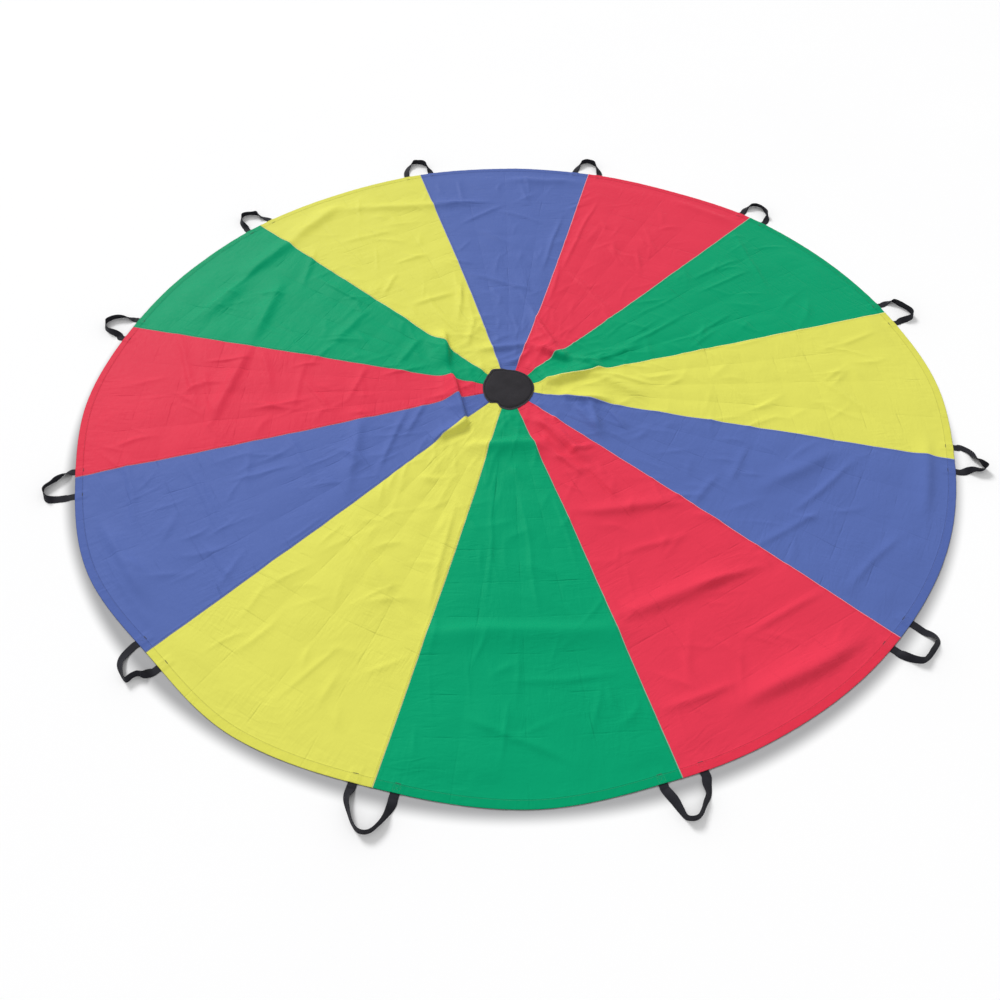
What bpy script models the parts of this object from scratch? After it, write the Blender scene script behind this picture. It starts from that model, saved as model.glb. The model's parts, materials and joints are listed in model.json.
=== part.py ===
"""Play parachute: a round canopy of twelve sewn gores with twelve webbing handles, laid out on the floor.

Metres, +Z up. The origin is on the floor at the middle of the hem, and +Y points away from the usual viewer.
The handles are numbered clockwise from the far left of the top, and gore 1 lies clockwise of handle 1.
"""
import math

import bmesh
import bpy
from mathutils import Vector, geometry

# The canopy
CANOPY_RADIUS = 1.500
GORE_COLOURS = ("blue", "red", "green", "yellow")
GORE_COUNT = 12
FIRST_SEAM_ANGLE = math.radians(105.2)
CLOTH_THICKNESS = 0.00035
HEM_WIDTH = 0.025
HEM_LAYERS = 3
HEM_RAMP = 0.004
CLEARANCE = 0.0003

# The round patches over and under the gores' tips
PATCH_RADIUS = 0.090
PATCH_THICKNESS = 0.0008
PATCH_SEGMENTS = 32
PATCH_MARGIN = 0.006
TIP_RADIUS = 0.035

# How the cloth lies: the middle has drifted a little to the left, and the cloth is lifted where it covers
# the under patch and the straps' sewn ends. The fades are how far the lift takes to die out.
CENTRE_DRIFT = 0.016
DRIFT_REACH = 0.450
PATCH_FADE = 0.045
HEM_FADE = 0.060

# The hem lies a little out of round: how far it lies beyond the canopy's radius, in shares of it, clockwise
# from the first seam, at each seam and then at the middle of the gore after it
HEM_OUT_SHARES = (
    0.0173, 0.0107, 0.0013, -0.0060, 0.0027, 0, 0.0013, 0.0087, -0.0007, 0.0013, 0, 0.0007,
    0.0033, 0.0173, 0.0093, 0.0167, -0.0020, 0.0120, 0.0033, 0.0127, 0.0080, 0.0120, 0.0173, 0.0147,
)

# The handles: one strap of webbing each, its two ends sewn under the hem. Each is two pieces of sewn end and
# a loop, which folds about a line just outside the hem and a little above the strap's middle. The loop leaves
# the hem flat and turns on to its edge towards the far bend.
WEBBING_WIDTH = 0.025
WEBBING_THICKNESS = 0.0012
HANDLE_SPREAD = 0.112
HANDLE_REACH = 0.100
END_SEWN = 0.030
END_REACH = 0.003
FOLD_RISE = 0.00028
FOLD_CLEARANCE = 0.0001
ROOT_RUN = 0.010
LOOP_STATIONS = 30
LOOP_STRIPS = 2
CURVE_STEPS = 8

# How far each handle's middle lies from its seam, in shares of the handle's spread
SEAM_OFFSET_SHARES = (0.04, 0.06, -0.11, -0.12, -0.01, 0.06, 0.01, 0.02, 0.11, 0.26, 0.12, 0.03)

# Points that each strap passes through: along the hem from the handle's middle, in shares of its spread, out
# from the hem, in shares of its reach, and how far its inner edge has turned up there, in degrees
LOOP_SHARES = (
    # the two handles furthest away
    ((0.44, 0.44, 16), (0.26, 0.80, 30), (0.04, 1.02, 74), (-0.18, 0.96, 80), (-0.38, 0.79, 96),
     (-0.48, 0.44, 60)),
    ((0.45, 0.43, 22), (0.38, 0.74, 70), (0.21, 0.93, 78), (0.03, 0.94, 76), (-0.19, 0.81, 84),
     (-0.35, 0.53, 50)),
    # down the right side
    ((0.55, 0.35, 12), (0.53, 0.64, 60), (0.40, 0.87, 62), (0.21, 0.93, 60), (-0.01, 0.83, 74),
     (-0.26, 0.66, 88), (-0.41, 0.50, 60), (-0.47, 0.28, 20)),
    ((0.55, 0.33, 5), (0.53, 0.58, 60), (0.33, 0.71, 84), (0.09, 0.84, 80), (-0.19, 0.91, 86),
     (-0.41, 0.82, 75), (-0.50, 0.52, 60), (-0.49, 0.25, 28)),
    ((0.54, 0.23, 0), (0.40, 0.52, 10), (0.19, 0.63, 22), (-0.02, 0.81, 75), (-0.18, 0.95, 95),
     (-0.33, 0.83, 105), (-0.38, 0.63, 104), (-0.43, 0.43, 60), (-0.48, 0.24, 10)),
    ((0.49, 0.38, 2), (0.53, 0.62, 20), (0.46, 0.79, 45), (0.25, 0.84, 54), (0.02, 0.85, 54),
     (-0.17, 0.85, 62), (-0.36, 0.79, 72), (-0.50, 0.52, 60), (-0.52, 0.27, 20)),
    # the two nearest
    ((0.43, 0.32, 14), (0.35, 0.59, 50), (0.19, 0.78, 62), (0.05, 0.95, 68), (-0.11, 1.05, 78),
     (-0.32, 0.98, 82), (-0.38, 0.74, 62), (-0.42, 0.47, 34)),
    ((0.52, 0.31, 25), (0.49, 0.56, 65), (0.40, 0.83, 86), (0.24, 1.08, 88), (0.02, 1.13, 80),
     (-0.17, 0.99, 76), (-0.35, 0.72, 66), (-0.50, 0.42, 45)),
    # up the left side
    ((0.50, 0.20, 10), (0.46, 0.41, 60), (0.32, 0.52, 82), (0.27, 0.67, 88), (0.25, 0.86, 80),
     (-0.05, 0.79, 55), (-0.29, 0.67, 28), (-0.43, 0.47, 5)),
    ((0.52, 0.26, 10), (0.49, 0.56, 12), (0.48, 0.78, 50), (0.35, 0.90, 66), (0.12, 0.96, 80),
     (-0.07, 0.90, 66), (-0.16, 0.74, 68), (-0.28, 0.55, 80), (-0.42, 0.31, 50)),
    ((0.41, 0.24, 14), (0.38, 0.47, 60), (0.33, 0.73, 78), (0.16, 0.96, 65), (-0.08, 1.10, 76),
     (-0.29, 1.00, 74), (-0.44, 0.76, 70), (-0.50, 0.46, 50)),
    ((0.46, 0.25, 15), (0.45, 0.51, 58), (0.34, 0.79, 58), (0.15, 1.03, 80), (-0.07, 1.05, 68),
     (-0.26, 0.88, 68), (-0.39, 0.71, 80), (-0.39, 0.45, 35)),
)

# The main folds: middle x and y, heading in degrees, then half length, half width and height.
# All but the heading are shares of the canopy's radius.
FOLD_SHARES = (
    # round the patch, where the slack has gathered
    (-0.139, -0.031, 102, 0.087, 0.0150, 0.0220),
    (-0.167, 0.147, 95, 0.062, 0.0170, 0.0180),
    (-0.147, -0.140, 35, 0.047, 0.0140, 0.0130),
    (-0.020, -0.190, 0, 0.087, 0.0190, 0.0120),
    (0.133, 0.037, 22, 0.073, 0.0230, 0.0150),
    (0.247, 0.007, -40, 0.073, 0.0200, 0.0095),
    (0.167, -0.040, -15, 0.053, 0.0190, 0.0130),
    (0.080, -0.147, -55, 0.053, 0.0130, 0.0095),
    (0.127, -0.190, -60, 0.060, 0.0130, 0.0090),
    (0.173, -0.113, -65, 0.060, 0.0140, 0.0095),
    (0.100, 0.120, -35, 0.040, 0.0150, 0.0170),
    (-0.013, 0.147, 3, 0.067, 0.0130, 0.0095),
    (0.087, 0.200, 110, 0.067, 0.0120, 0.0070),
    # the left side
    (-0.667, 0.553, 54, 0.093, 0.0230, 0.0095),
    (-0.633, 0.317, 82, 0.100, 0.0190, 0.0087),
    (-0.760, 0.360, 62, 0.080, 0.0200, 0.0060),
    (-0.410, 0.245, 55, 0.067, 0.0150, 0.0060),
    (-0.680, 0.027, 80, 0.127, 0.0150, 0.0067),
    (-0.360, -0.209, 86, 0.107, 0.0160, 0.0060),
    (-0.800, -0.493, -52, 0.107, 0.0150, 0.0060),
    # the near side
    (-0.300, -0.520, -62, 0.100, 0.0200, 0.0053),
    (0.007, -0.680, 0, 0.180, 0.0230, 0.0087),
    (0.303, -0.600, 22, 0.127, 0.0210, 0.0100),
    (0.233, -0.377, 4, 0.107, 0.0170, 0.0073),
    (0.513, -0.773, 26, 0.133, 0.0210, 0.0120),
    # the right side
    (0.620, -0.280, 28, 0.100, 0.0200, 0.0067),
    (0.887, -0.307, 70, 0.107, 0.0170, 0.0060),
    # the far side
    (0.573, 0.753, -42, 0.087, 0.0200, 0.0060),
    (0.107, 0.930, -4, 0.093, 0.0200, 0.0060),
    (-0.280, 0.800, 3, 0.187, 0.0200, 0.0080),
    (-0.560, 0.720, 58, 0.093, 0.0220, 0.0093),
)
FLANK_SHARE = 1.3

# How finely the cloth is divided
RIM_STEPS = 8
TIP_STEPS = 2
RING_STEPS = 3
NEAR_SPACING = 0.030
NEAR_REACH = 0.420
FAR_SPACING = 0.090
LATTICE_SPACING = 0.120
FOLD_SPACING = 0.050
LEAST_SPACING = 0.014
MERGE_DISTANCE = 0.00001
KEEP_INSIDE = 1
UNLAY_STEPS = 4

# Plain colours of the cloth and the webbing: base colour, roughness
FINISHES = {
    "blue": ((0.104, 0.158, 0.429, 1), 0.55),
    "red": ((0.768, 0.051, 0.093, 1), 0.55),
    "green": ((0.006, 0.347, 0.162, 1), 0.55),
    "yellow": ((0.716, 0.716, 0.127, 1), 0.55),
    "webbing": ((0.027, 0.027, 0.033, 1), 0.80),
    "patch": ((0.037, 0.034, 0.040, 1), 0.75),
}

GORE_ANGLE = 2 * math.pi / GORE_COUNT
PATCH_TOP = PATCH_THICKNESS + CLEARANCE
END_TOP = WEBBING_THICKNESS + CLEARANCE
FOLD_GAP = FOLD_RISE + WEBBING_THICKNESS / 2 + FOLD_CLEARANCE
FOLD_OUT = END_REACH + FOLD_GAP
HEM_START = CANOPY_RADIUS - HEM_WIDTH


def clear_scene():
    for old in list(bpy.data.objects):
        bpy.data.objects.remove(old, do_unlink=True)


def finish_named(name):
    """The Principled material for one colour."""
    colour, roughness = FINISHES[name]
    material = bpy.data.materials.new(name)
    material.use_nodes = True
    shader = material.node_tree.nodes["Principled BSDF"]
    shader.inputs["Base Color"].default_value = colour
    shader.inputs["Roughness"].default_value = roughness
    shader.inputs["Metallic"].default_value = 0
    material.diffuse_color = colour
    return material


def add_piece(name, bm, material, origin=Vector()):
    """Turn a bmesh into a named object whose own origin is at the given point."""
    bmesh.ops.translate(bm, verts=bm.verts[:], vec=-origin)
    bm.normal_update()
    bmesh.ops.recalc_face_normals(bm, faces=bm.faces[:])
    mesh = bpy.data.meshes.new(name)
    bm.to_mesh(mesh)
    bm.free()
    mesh.materials.append(material)
    piece = bpy.data.objects.new(name, mesh)
    piece.location = origin
    bpy.context.collection.objects.link(piece)
    return piece


def smooth_step(value, low, high):
    """0 up to low, 1 from high, and an eased rise between them."""
    share = min(max((value - low) / (high - low), 0), 1)
    return share * share * (3 - 2 * share)


def polar(radius, angle):
    return Vector((radius * math.cos(angle), radius * math.sin(angle)))


def seam_angle(index):
    return FIRST_SEAM_ANGLE - index * GORE_ANGLE


def hem_out_share(angle):
    """How far beyond the canopy's radius the hem lies in a direction, as a share of it."""
    count = len(HEM_OUT_SHARES)
    turn = (FIRST_SEAM_ANGLE - angle) / (2 * math.pi) * count % count
    before = int(turn)
    start, end = HEM_OUT_SHARES[before % count], HEM_OUT_SHARES[(before + 1) % count]
    return start + (end - start) * smooth_step(turn, before, before + 1)


def laid(point):
    """Where a point of the flat pattern lies on the floor."""
    drift = CENTRE_DRIFT * math.exp(-((point.length / DRIFT_REACH) ** 2))
    spread = hem_out_share(math.atan2(point.y, point.x)) * (point.length / CANOPY_RADIUS) ** 2
    return Vector((point.x * (1 + spread) - drift, point.y * (1 + spread)))


def unlaid(place):
    """The point of the flat pattern that lies at a place on the floor."""
    point = place
    for _ in range(UNLAY_STEPS):
        point = place + point - laid(point)
    return point


def fold_frame(fold):
    """A fold's middle, direction, half length, half width and height, in metres."""
    x_share, y_share, heading, length_share, width_share, height_share = fold
    middle = Vector((x_share, y_share)) * CANOPY_RADIUS
    along = polar(1, math.radians(heading))
    return (
        middle,
        along,
        length_share * CANOPY_RADIUS,
        width_share * CANOPY_RADIUS,
        height_share * CANOPY_RADIUS,
    )


FOLDS = [fold_frame(fold) for fold in FOLD_SHARES]


def fold_height(place):
    """How high the folds lift the cloth at a place on the floor."""
    height = 0
    for middle, along, half_length, half_width, top in FOLDS:
        offset = place - middle
        lengthwise = offset.dot(along) / half_length
        crosswise = (offset.x * along.y - offset.y * along.x) / half_width
        height += top * math.exp(-(lengthwise**4) - crosswise**2)
    return height


def underside_height(point):
    """The height of the cloth's underside at a point of the flat pattern."""
    radius = point.length
    patch_edge = PATCH_RADIUS + PATCH_MARGIN
    past_patch = smooth_step(radius, patch_edge, patch_edge + PATCH_FADE)
    ends_start = CANOPY_RADIUS - END_SEWN - PATCH_MARGIN
    on_ends = smooth_step(radius, ends_start - HEM_FADE, ends_start)
    folds = fold_height(laid(point)) * past_patch * (1 - on_ends)
    return folds + PATCH_TOP * (1 - past_patch) + END_TOP * on_ends


def cloth_thickness(point):
    """One layer of cloth, and the turned hem's layers at the rim."""
    on_hem = smooth_step(point.length, HEM_START - HEM_RAMP, HEM_START)
    return CLOTH_THICKNESS * (1 + (HEM_LAYERS - 1) * on_hem)


def seam_radii():
    """Distances from the centre at which both gores of a seam have a point."""
    patch_edge = PATCH_RADIUS + PATCH_MARGIN
    radii = [TIP_RADIUS, patch_edge]
    radius = patch_edge + NEAR_SPACING
    while radius < HEM_START - HEM_RAMP - LEAST_SPACING:
        radii.append(radius)
        radius += NEAR_SPACING if radius < NEAR_REACH else FAR_SPACING
    return radii + [HEM_START - HEM_RAMP, HEM_START]


def gore_outline(index):
    """The flat pattern of one gore, anticlockwise, half a clearance inside each seam."""
    left, right = seam_angle(index), seam_angle(index + 1)
    inset = CLEARANCE / 2
    radii = seam_radii()
    right_side = [edge_point(radius, right, inset) for radius in radii]
    left_side = [edge_point(radius, left, -inset) for radius in radii]
    rim = arc_points(CANOPY_RADIUS, right, left, RIM_STEPS, inset)
    tip = arc_points(TIP_RADIUS, left, right, TIP_STEPS, inset)
    return right_side + rim + left_side[::-1] + tip[1:-1]


def edge_point(radius, angle, inset):
    """A point beside a seam, moved square to it by the inset."""
    return polar(radius, angle) + polar(inset, angle + math.pi / 2)


def arc_points(radius, start, end, steps, inset):
    """Points on an arc between two seams, clear of both by the inset."""
    margin = math.copysign(inset / radius, end - start)
    span = end - start - 2 * margin
    return [polar(radius, start + margin + span * step / steps) for step in range(steps + 1)]


def hem_rings(index):
    """Points inside a gore where the hem's layers begin, and round the patch's edge."""
    left, right = seam_angle(index), seam_angle(index + 1)
    points = []
    for radius, steps in (
        (HEM_START - HEM_RAMP, RIM_STEPS),
        (HEM_START, RIM_STEPS),
        (PATCH_RADIUS + PATCH_MARGIN, RING_STEPS),
    ):
        points += arc_points(radius, right, left, steps, CLEARANCE)[1:-1]
    return points


def fold_points():
    """Points of the flat pattern along each fold's crest and its two flanks."""
    places = []
    for middle, along, half_length, half_width, _ in FOLDS:
        across = Vector((-along.y, along.x))
        count = max(2, round(2 * half_length / FOLD_SPACING))
        for step in range(count + 1):
            on_crest = middle + along * half_length * (2 * step / count - 1)
            for side in (0, -FLANK_SHARE, FLANK_SHARE):
                places.append(unlaid(on_crest + across * half_width * side))
    return places


def lattice_points():
    """An even scatter of points over the whole canopy."""
    places = []
    count = int(2 * CANOPY_RADIUS / LATTICE_SPACING)
    for row in range(count + 1):
        for column in range(count + 1):
            corner = Vector((column, row)) * LATTICE_SPACING
            places.append(corner - Vector((CANOPY_RADIUS, CANOPY_RADIUS)))
    return places


def inside_gore(point, index):
    """Whether a point is well inside a gore, between the patch's edge and the hem."""
    radius = point.length
    if not PATCH_RADIUS + PATCH_MARGIN + LEAST_SPACING < radius < HEM_START - HEM_RAMP - LEAST_SPACING:
        return False
    turn = (seam_angle(index) - math.atan2(point.y, point.x)) % (2 * math.pi)
    if turn > GORE_ANGLE:
        return False
    return radius * math.sin(min(turn, GORE_ANGLE - turn)) > LEAST_SPACING


def gore_points(index, scattered):
    """Every point of a gore's flat pattern: first its outline, then what lies inside."""
    outline = gore_outline(index)
    kept = outline + hem_rings(index)
    for point in scattered:
        if inside_gore(point, index) and all((point - other).length > LEAST_SPACING for other in kept):
            kept.append(point)
    return kept, len(outline)


def thicken(bm, lifts):
    """Close a sheet into a solid: a second layer, each vertex moved from its own by its lift."""
    lift_at = {vert.co.to_tuple(): lift for vert, lift in zip(bm.verts, lifts)}
    raised = bmesh.ops.extrude_face_region(bm, geom=bm.faces[:], use_keep_orig=True)
    for item in raised["geom"]:
        if isinstance(item, bmesh.types.BMVert):
            item.co += lift_at[item.co.to_tuple()]


def make_gore(index, scattered, finishes):
    """One gore: a thin closed sheet that follows the folds, with a thicker hem."""
    points, outline_count = gore_points(index, scattered)
    outline = list(range(outline_count))
    triangulated = geometry.delaunay_2d_cdt(points, [], [outline], KEEP_INSIDE, MERGE_DISTANCE)
    flat, triangles = triangulated[0], triangulated[2]
    bm = bmesh.new()
    for point in flat:
        place = laid(point)
        bm.verts.new((place.x, place.y, underside_height(point)))
    bm.verts.ensure_lookup_table()
    for triangle in triangles:
        bm.faces.new([bm.verts[corner] for corner in triangle])
    thicken(bm, [Vector((0, 0, cloth_thickness(point))) for point in flat])
    colour = GORE_COLOURS[index % len(GORE_COLOURS)]
    add_piece(f"gore_{index + 1:02d}_{colour}", bm, finishes[colour])


def make_patch(name, bottom, finish):
    """One round patch, flat, centred on the canopy's drifted middle."""
    bm = bmesh.new()
    bmesh.ops.create_cone(
        bm,
        cap_ends=True,
        segments=PATCH_SEGMENTS,
        radius1=PATCH_RADIUS,
        radius2=PATCH_RADIUS,
        depth=PATCH_THICKNESS,
    )
    middle = laid(Vector((0, 0)))
    place = Vector((middle.x, middle.y, bottom + PATCH_THICKNESS / 2))
    bmesh.ops.translate(bm, verts=bm.verts[:], vec=place)
    add_piece(name, bm, finish)


def smooth_path(points):
    """An even curve through the points, with its two ends run straight on."""
    ends = [2 * points[0] - points[1]] + points + [2 * points[-1] - points[-2]]
    curve = []
    for before, start, end, after in zip(ends, ends[1:], ends[2:], ends[3:]):
        for step in range(CURVE_STEPS):
            t = step / CURVE_STEPS
            curve.append(
                0.5
                * (
                    2 * start
                    + (end - before) * t
                    + (2 * before - 5 * start + 4 * end - after) * t**2
                    + (3 * start - before - 3 * end + after) * t**3
                )
            )
    return curve + [points[-1]]


def evenly_spaced(path, count):
    """The path's points set an even distance apart in plan."""
    travelled = [0]
    for start, end in zip(path, path[1:]):
        travelled.append(travelled[-1] + (end.xy - start.xy).length)
    spaced, leg = [], 0
    for step in range(count):
        goal = travelled[-1] * step / (count - 1)
        while leg < len(path) - 2 and travelled[leg + 1] < goal:
            leg += 1
        share = (goal - travelled[leg]) / (travelled[leg + 1] - travelled[leg])
        spaced.append(path[leg].lerp(path[leg + 1], share))
    return spaced


def strap_path(index):
    """A handle's centreline: how far along the hem, how far out from it, and how far the strap has turned."""
    offset = SEAM_OFFSET_SHARES[index] * HANDLE_SPREAD
    first, last = offset + HANDLE_SPREAD / 2, offset - HANDLE_SPREAD / 2
    passed = [
        Vector((offset + along * HANDLE_SPREAD, out * HANDLE_REACH, math.radians(turn)))
        for along, out, turn in LOOP_SHARES[index]
    ]
    start = [Vector((first, FOLD_OUT, 0)), Vector((first, FOLD_OUT + ROOT_RUN, 0))]
    finish = [Vector((last, FOLD_OUT + ROOT_RUN, 0)), Vector((last, FOLD_OUT, 0))]
    return evenly_spaced(smooth_path(start + passed + finish), LOOP_STATIONS)


def strap_rows(index):
    """Each station's points across one face of the strap, along the hem, out and up, and its thickness."""
    path = strap_path(index)
    outward = Vector((0, 1, 0))
    headings = [outward] + [after - before for before, after in zip(path, path[2:])] + [-outward]
    rows = []
    for place, ahead in zip(path, headings):
        inward = Vector((-ahead.y, ahead.x, 0)).normalized()
        up = Vector((0, 0, 1))
        across = (inward * math.cos(place.z) + up * math.sin(place.z)) * WEBBING_WIDTH
        through = (up * math.cos(place.z) - inward * math.sin(place.z)) * WEBBING_THICKNESS
        middle = Vector((place.x, place.y, (abs(across.z) + abs(through.z)) / 2))
        edge = middle - (across + through) / 2
        rows.append(([edge + across * strip / LOOP_STRIPS for strip in range(LOOP_STRIPS + 1)], through))
    return rows


def on_canopy(index, point):
    """A handle's own along, out and up, turned into a place beside the hem."""
    angle = seam_angle(index)
    hem_reach = CANOPY_RADIUS * (1 + HEM_OUT_SHARES[2 * index])
    place = polar(hem_reach + point[1], angle) + polar(point[0], angle + math.pi / 2)
    return Vector((place.x, place.y, point[2]))


def make_loop(index, finish):
    """The free part of one handle, whose origin is on the line that it folds about."""
    bm = bmesh.new()
    rows, lifts = [], []
    for underside, through in strap_rows(index):
        rows.append([bm.verts.new(on_canopy(index, place)) for place in underside])
        lifts += [on_canopy(index, place + through) - on_canopy(index, place) for place in underside]
    for row, following in zip(rows, rows[1:]):
        for strip in range(LOOP_STRIPS):
            bm.faces.new((row[strip], row[strip + 1], following[strip + 1]))
            bm.faces.new((row[strip], following[strip + 1], following[strip]))
    thicken(bm, lifts)
    fold_line = on_canopy(index, (0, FOLD_OUT, WEBBING_THICKNESS / 2 + FOLD_RISE))
    add_piece(f"handle_{index + 1:02d}_loop", bm, finish, fold_line)


def make_sewn_ends(index, finish):
    """The two flat ends of one handle's strap, under the hem."""
    offset = SEAM_OFFSET_SHARES[index] * HANDLE_SPREAD
    for name, side in (("left", 1), ("right", -1)):
        middle = offset + side * HANDLE_SPREAD / 2
        bm = bmesh.new()
        bmesh.ops.create_cube(bm, size=1)
        for vert in bm.verts:
            along = middle + vert.co.x * WEBBING_WIDTH
            out = END_REACH if vert.co.y > 0 else -END_SEWN
            up = WEBBING_THICKNESS if vert.co.z > 0 else 0
            vert.co = on_canopy(index, (along, out, up))
        add_piece(f"handle_{index + 1:02d}_{name}_end", bm, finish)


def main():
    clear_scene()
    finishes = {name: finish_named(name) for name in FINISHES}
    scattered = fold_points() + lattice_points()
    for index in range(GORE_COUNT):
        make_gore(index, scattered, finishes)
    make_patch("patch_under", 0, finishes["patch"])
    make_patch("patch_top", PATCH_TOP + CLOTH_THICKNESS + CLEARANCE, finishes["patch"])
    for index in range(GORE_COUNT):
        make_loop(index, finishes["webbing"])
        make_sewn_ends(index, finishes["webbing"])


main()
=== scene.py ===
"""Play parachute: its sewn canopy, patches, webbing handles and stitches, laid out on a pale floor."""

import json
import math
import random

import bmesh
import bpy
import numpy as np
from bpy.props import FloatProperty, FloatVectorProperty, PointerProperty
from mathutils import Matrix, noise


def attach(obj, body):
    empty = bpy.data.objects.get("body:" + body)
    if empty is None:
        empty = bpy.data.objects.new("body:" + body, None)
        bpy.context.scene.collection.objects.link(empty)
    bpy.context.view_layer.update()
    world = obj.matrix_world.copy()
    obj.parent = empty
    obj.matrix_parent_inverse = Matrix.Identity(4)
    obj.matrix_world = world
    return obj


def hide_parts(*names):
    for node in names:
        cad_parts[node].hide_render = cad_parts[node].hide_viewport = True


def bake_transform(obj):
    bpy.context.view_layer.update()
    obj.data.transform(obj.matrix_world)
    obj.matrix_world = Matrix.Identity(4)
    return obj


bl_info = {
    "name": "Play Parachute",
    "version": (1, 0, 0),
    "blender": (4, 5, 0),
    "location": "View3D > Sidebar > Parachute",
    "description": "Dresses a play parachute's frame with laid cloth, webbing and stitches",
    "category": "Object",
}

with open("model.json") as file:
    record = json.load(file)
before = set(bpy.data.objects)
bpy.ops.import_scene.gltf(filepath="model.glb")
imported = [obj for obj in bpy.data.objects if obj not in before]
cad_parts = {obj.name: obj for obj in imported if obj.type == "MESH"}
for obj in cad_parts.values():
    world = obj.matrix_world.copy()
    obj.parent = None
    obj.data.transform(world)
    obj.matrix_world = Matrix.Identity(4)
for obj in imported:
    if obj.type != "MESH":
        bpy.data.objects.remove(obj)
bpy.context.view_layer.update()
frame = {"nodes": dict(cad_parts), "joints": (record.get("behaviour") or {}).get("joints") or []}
GORES = sorted(name for name in frame["nodes"] if name.startswith("gore_"))
GORE_COLOURS = [name.split("_")[-1] for name in GORES]
SEAM_ANGLES = [math.atan2(joint["pos_m"][1], joint["pos_m"][0]) for joint in frame["joints"]]
FOLD_REACHES = [math.hypot(*joint["pos_m"][:2]) for joint in frame["joints"]]
GORE_ANGLE = 2 * math.pi / len(GORES)
CANOPY_RADIUS = 1.5
CLOTH_COLOURS = {
    "blue": (0.098, 0.152, 0.424),
    "red": (0.770, 0.045, 0.086),
    "green": (0.003, 0.343, 0.154),
    "yellow": (0.738, 0.730, 0.122),
}

# How the cloth is laid. Its middle has drifted a little to the left, its folds fade out towards the patch and
# the hem, and it rides over the under patch and the straps' sewn ends.
CENTRE_DRIFT = 0.016
DRIFT_REACH = 0.450
PATCH_EDGE = 0.096
PATCH_FADE = 0.045
HEM_FADE = 0.060
HEM_MARGIN = 0.006
SMALL_SHARE_AT_HEM = 0.12
UNDER_PATCH_HEIGHT = 0.0011
END_HEIGHT = 0.0015
END_SIDES = (0.001, 0.008)
END_REACHES = (1.450, 1.466)

# Smooth noise over the floor, for each use: the size of its humps and its seed
NOISES = {
    "long_stray_x": (0.190, 4.4), "long_stray_y": (0.190, 7.9),
    "short_stray_x": (0.050, 9.2), "short_stray_y": (0.050, 5.1),
    "puff": (0.230, 3.7), "crumple": (0.070, 1.3), "crumple_places": (0.420, 6.3),
    "panel_places": (0.330, 2.9), "hem_pucker": (0.020, 5.5),
    "patch_wave": (0.034, 2.2), "patch_ruck": (0.030, 7.7),
}

# How far that noise pushes the folds aside, and how high it and the packing creases lift the cloth
LONG_STRAY = 0.011
SHORT_STRAY = 0.0016
PUFF_HEIGHT = 0.0040
CRUMPLE_HEIGHT = 0.0016
PANEL_HEIGHTS = (0.0023, 0.0016)
HEM_PUCKER_HEIGHT = 0.0005
HEM_PUCKER_REACHES = (1.40, 1.46)

# How far the hem lies beyond the canopy's radius, in shares of it, clockwise from the first seam, at each
# seam and then at the middle of the gore after it
HEM_OUT_SHARES = (
    0.0173, 0.0107, 0.0013, -0.0060, 0.0027, 0, 0.0013, 0.0087, -0.0007, 0.0013, 0, 0.0007,
    0.0033, 0.0173, 0.0093, 0.0167, -0.0020, 0.0120, 0.0033, 0.0127, 0.0080, 0.0120, 0.0173, 0.0147,
)

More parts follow.
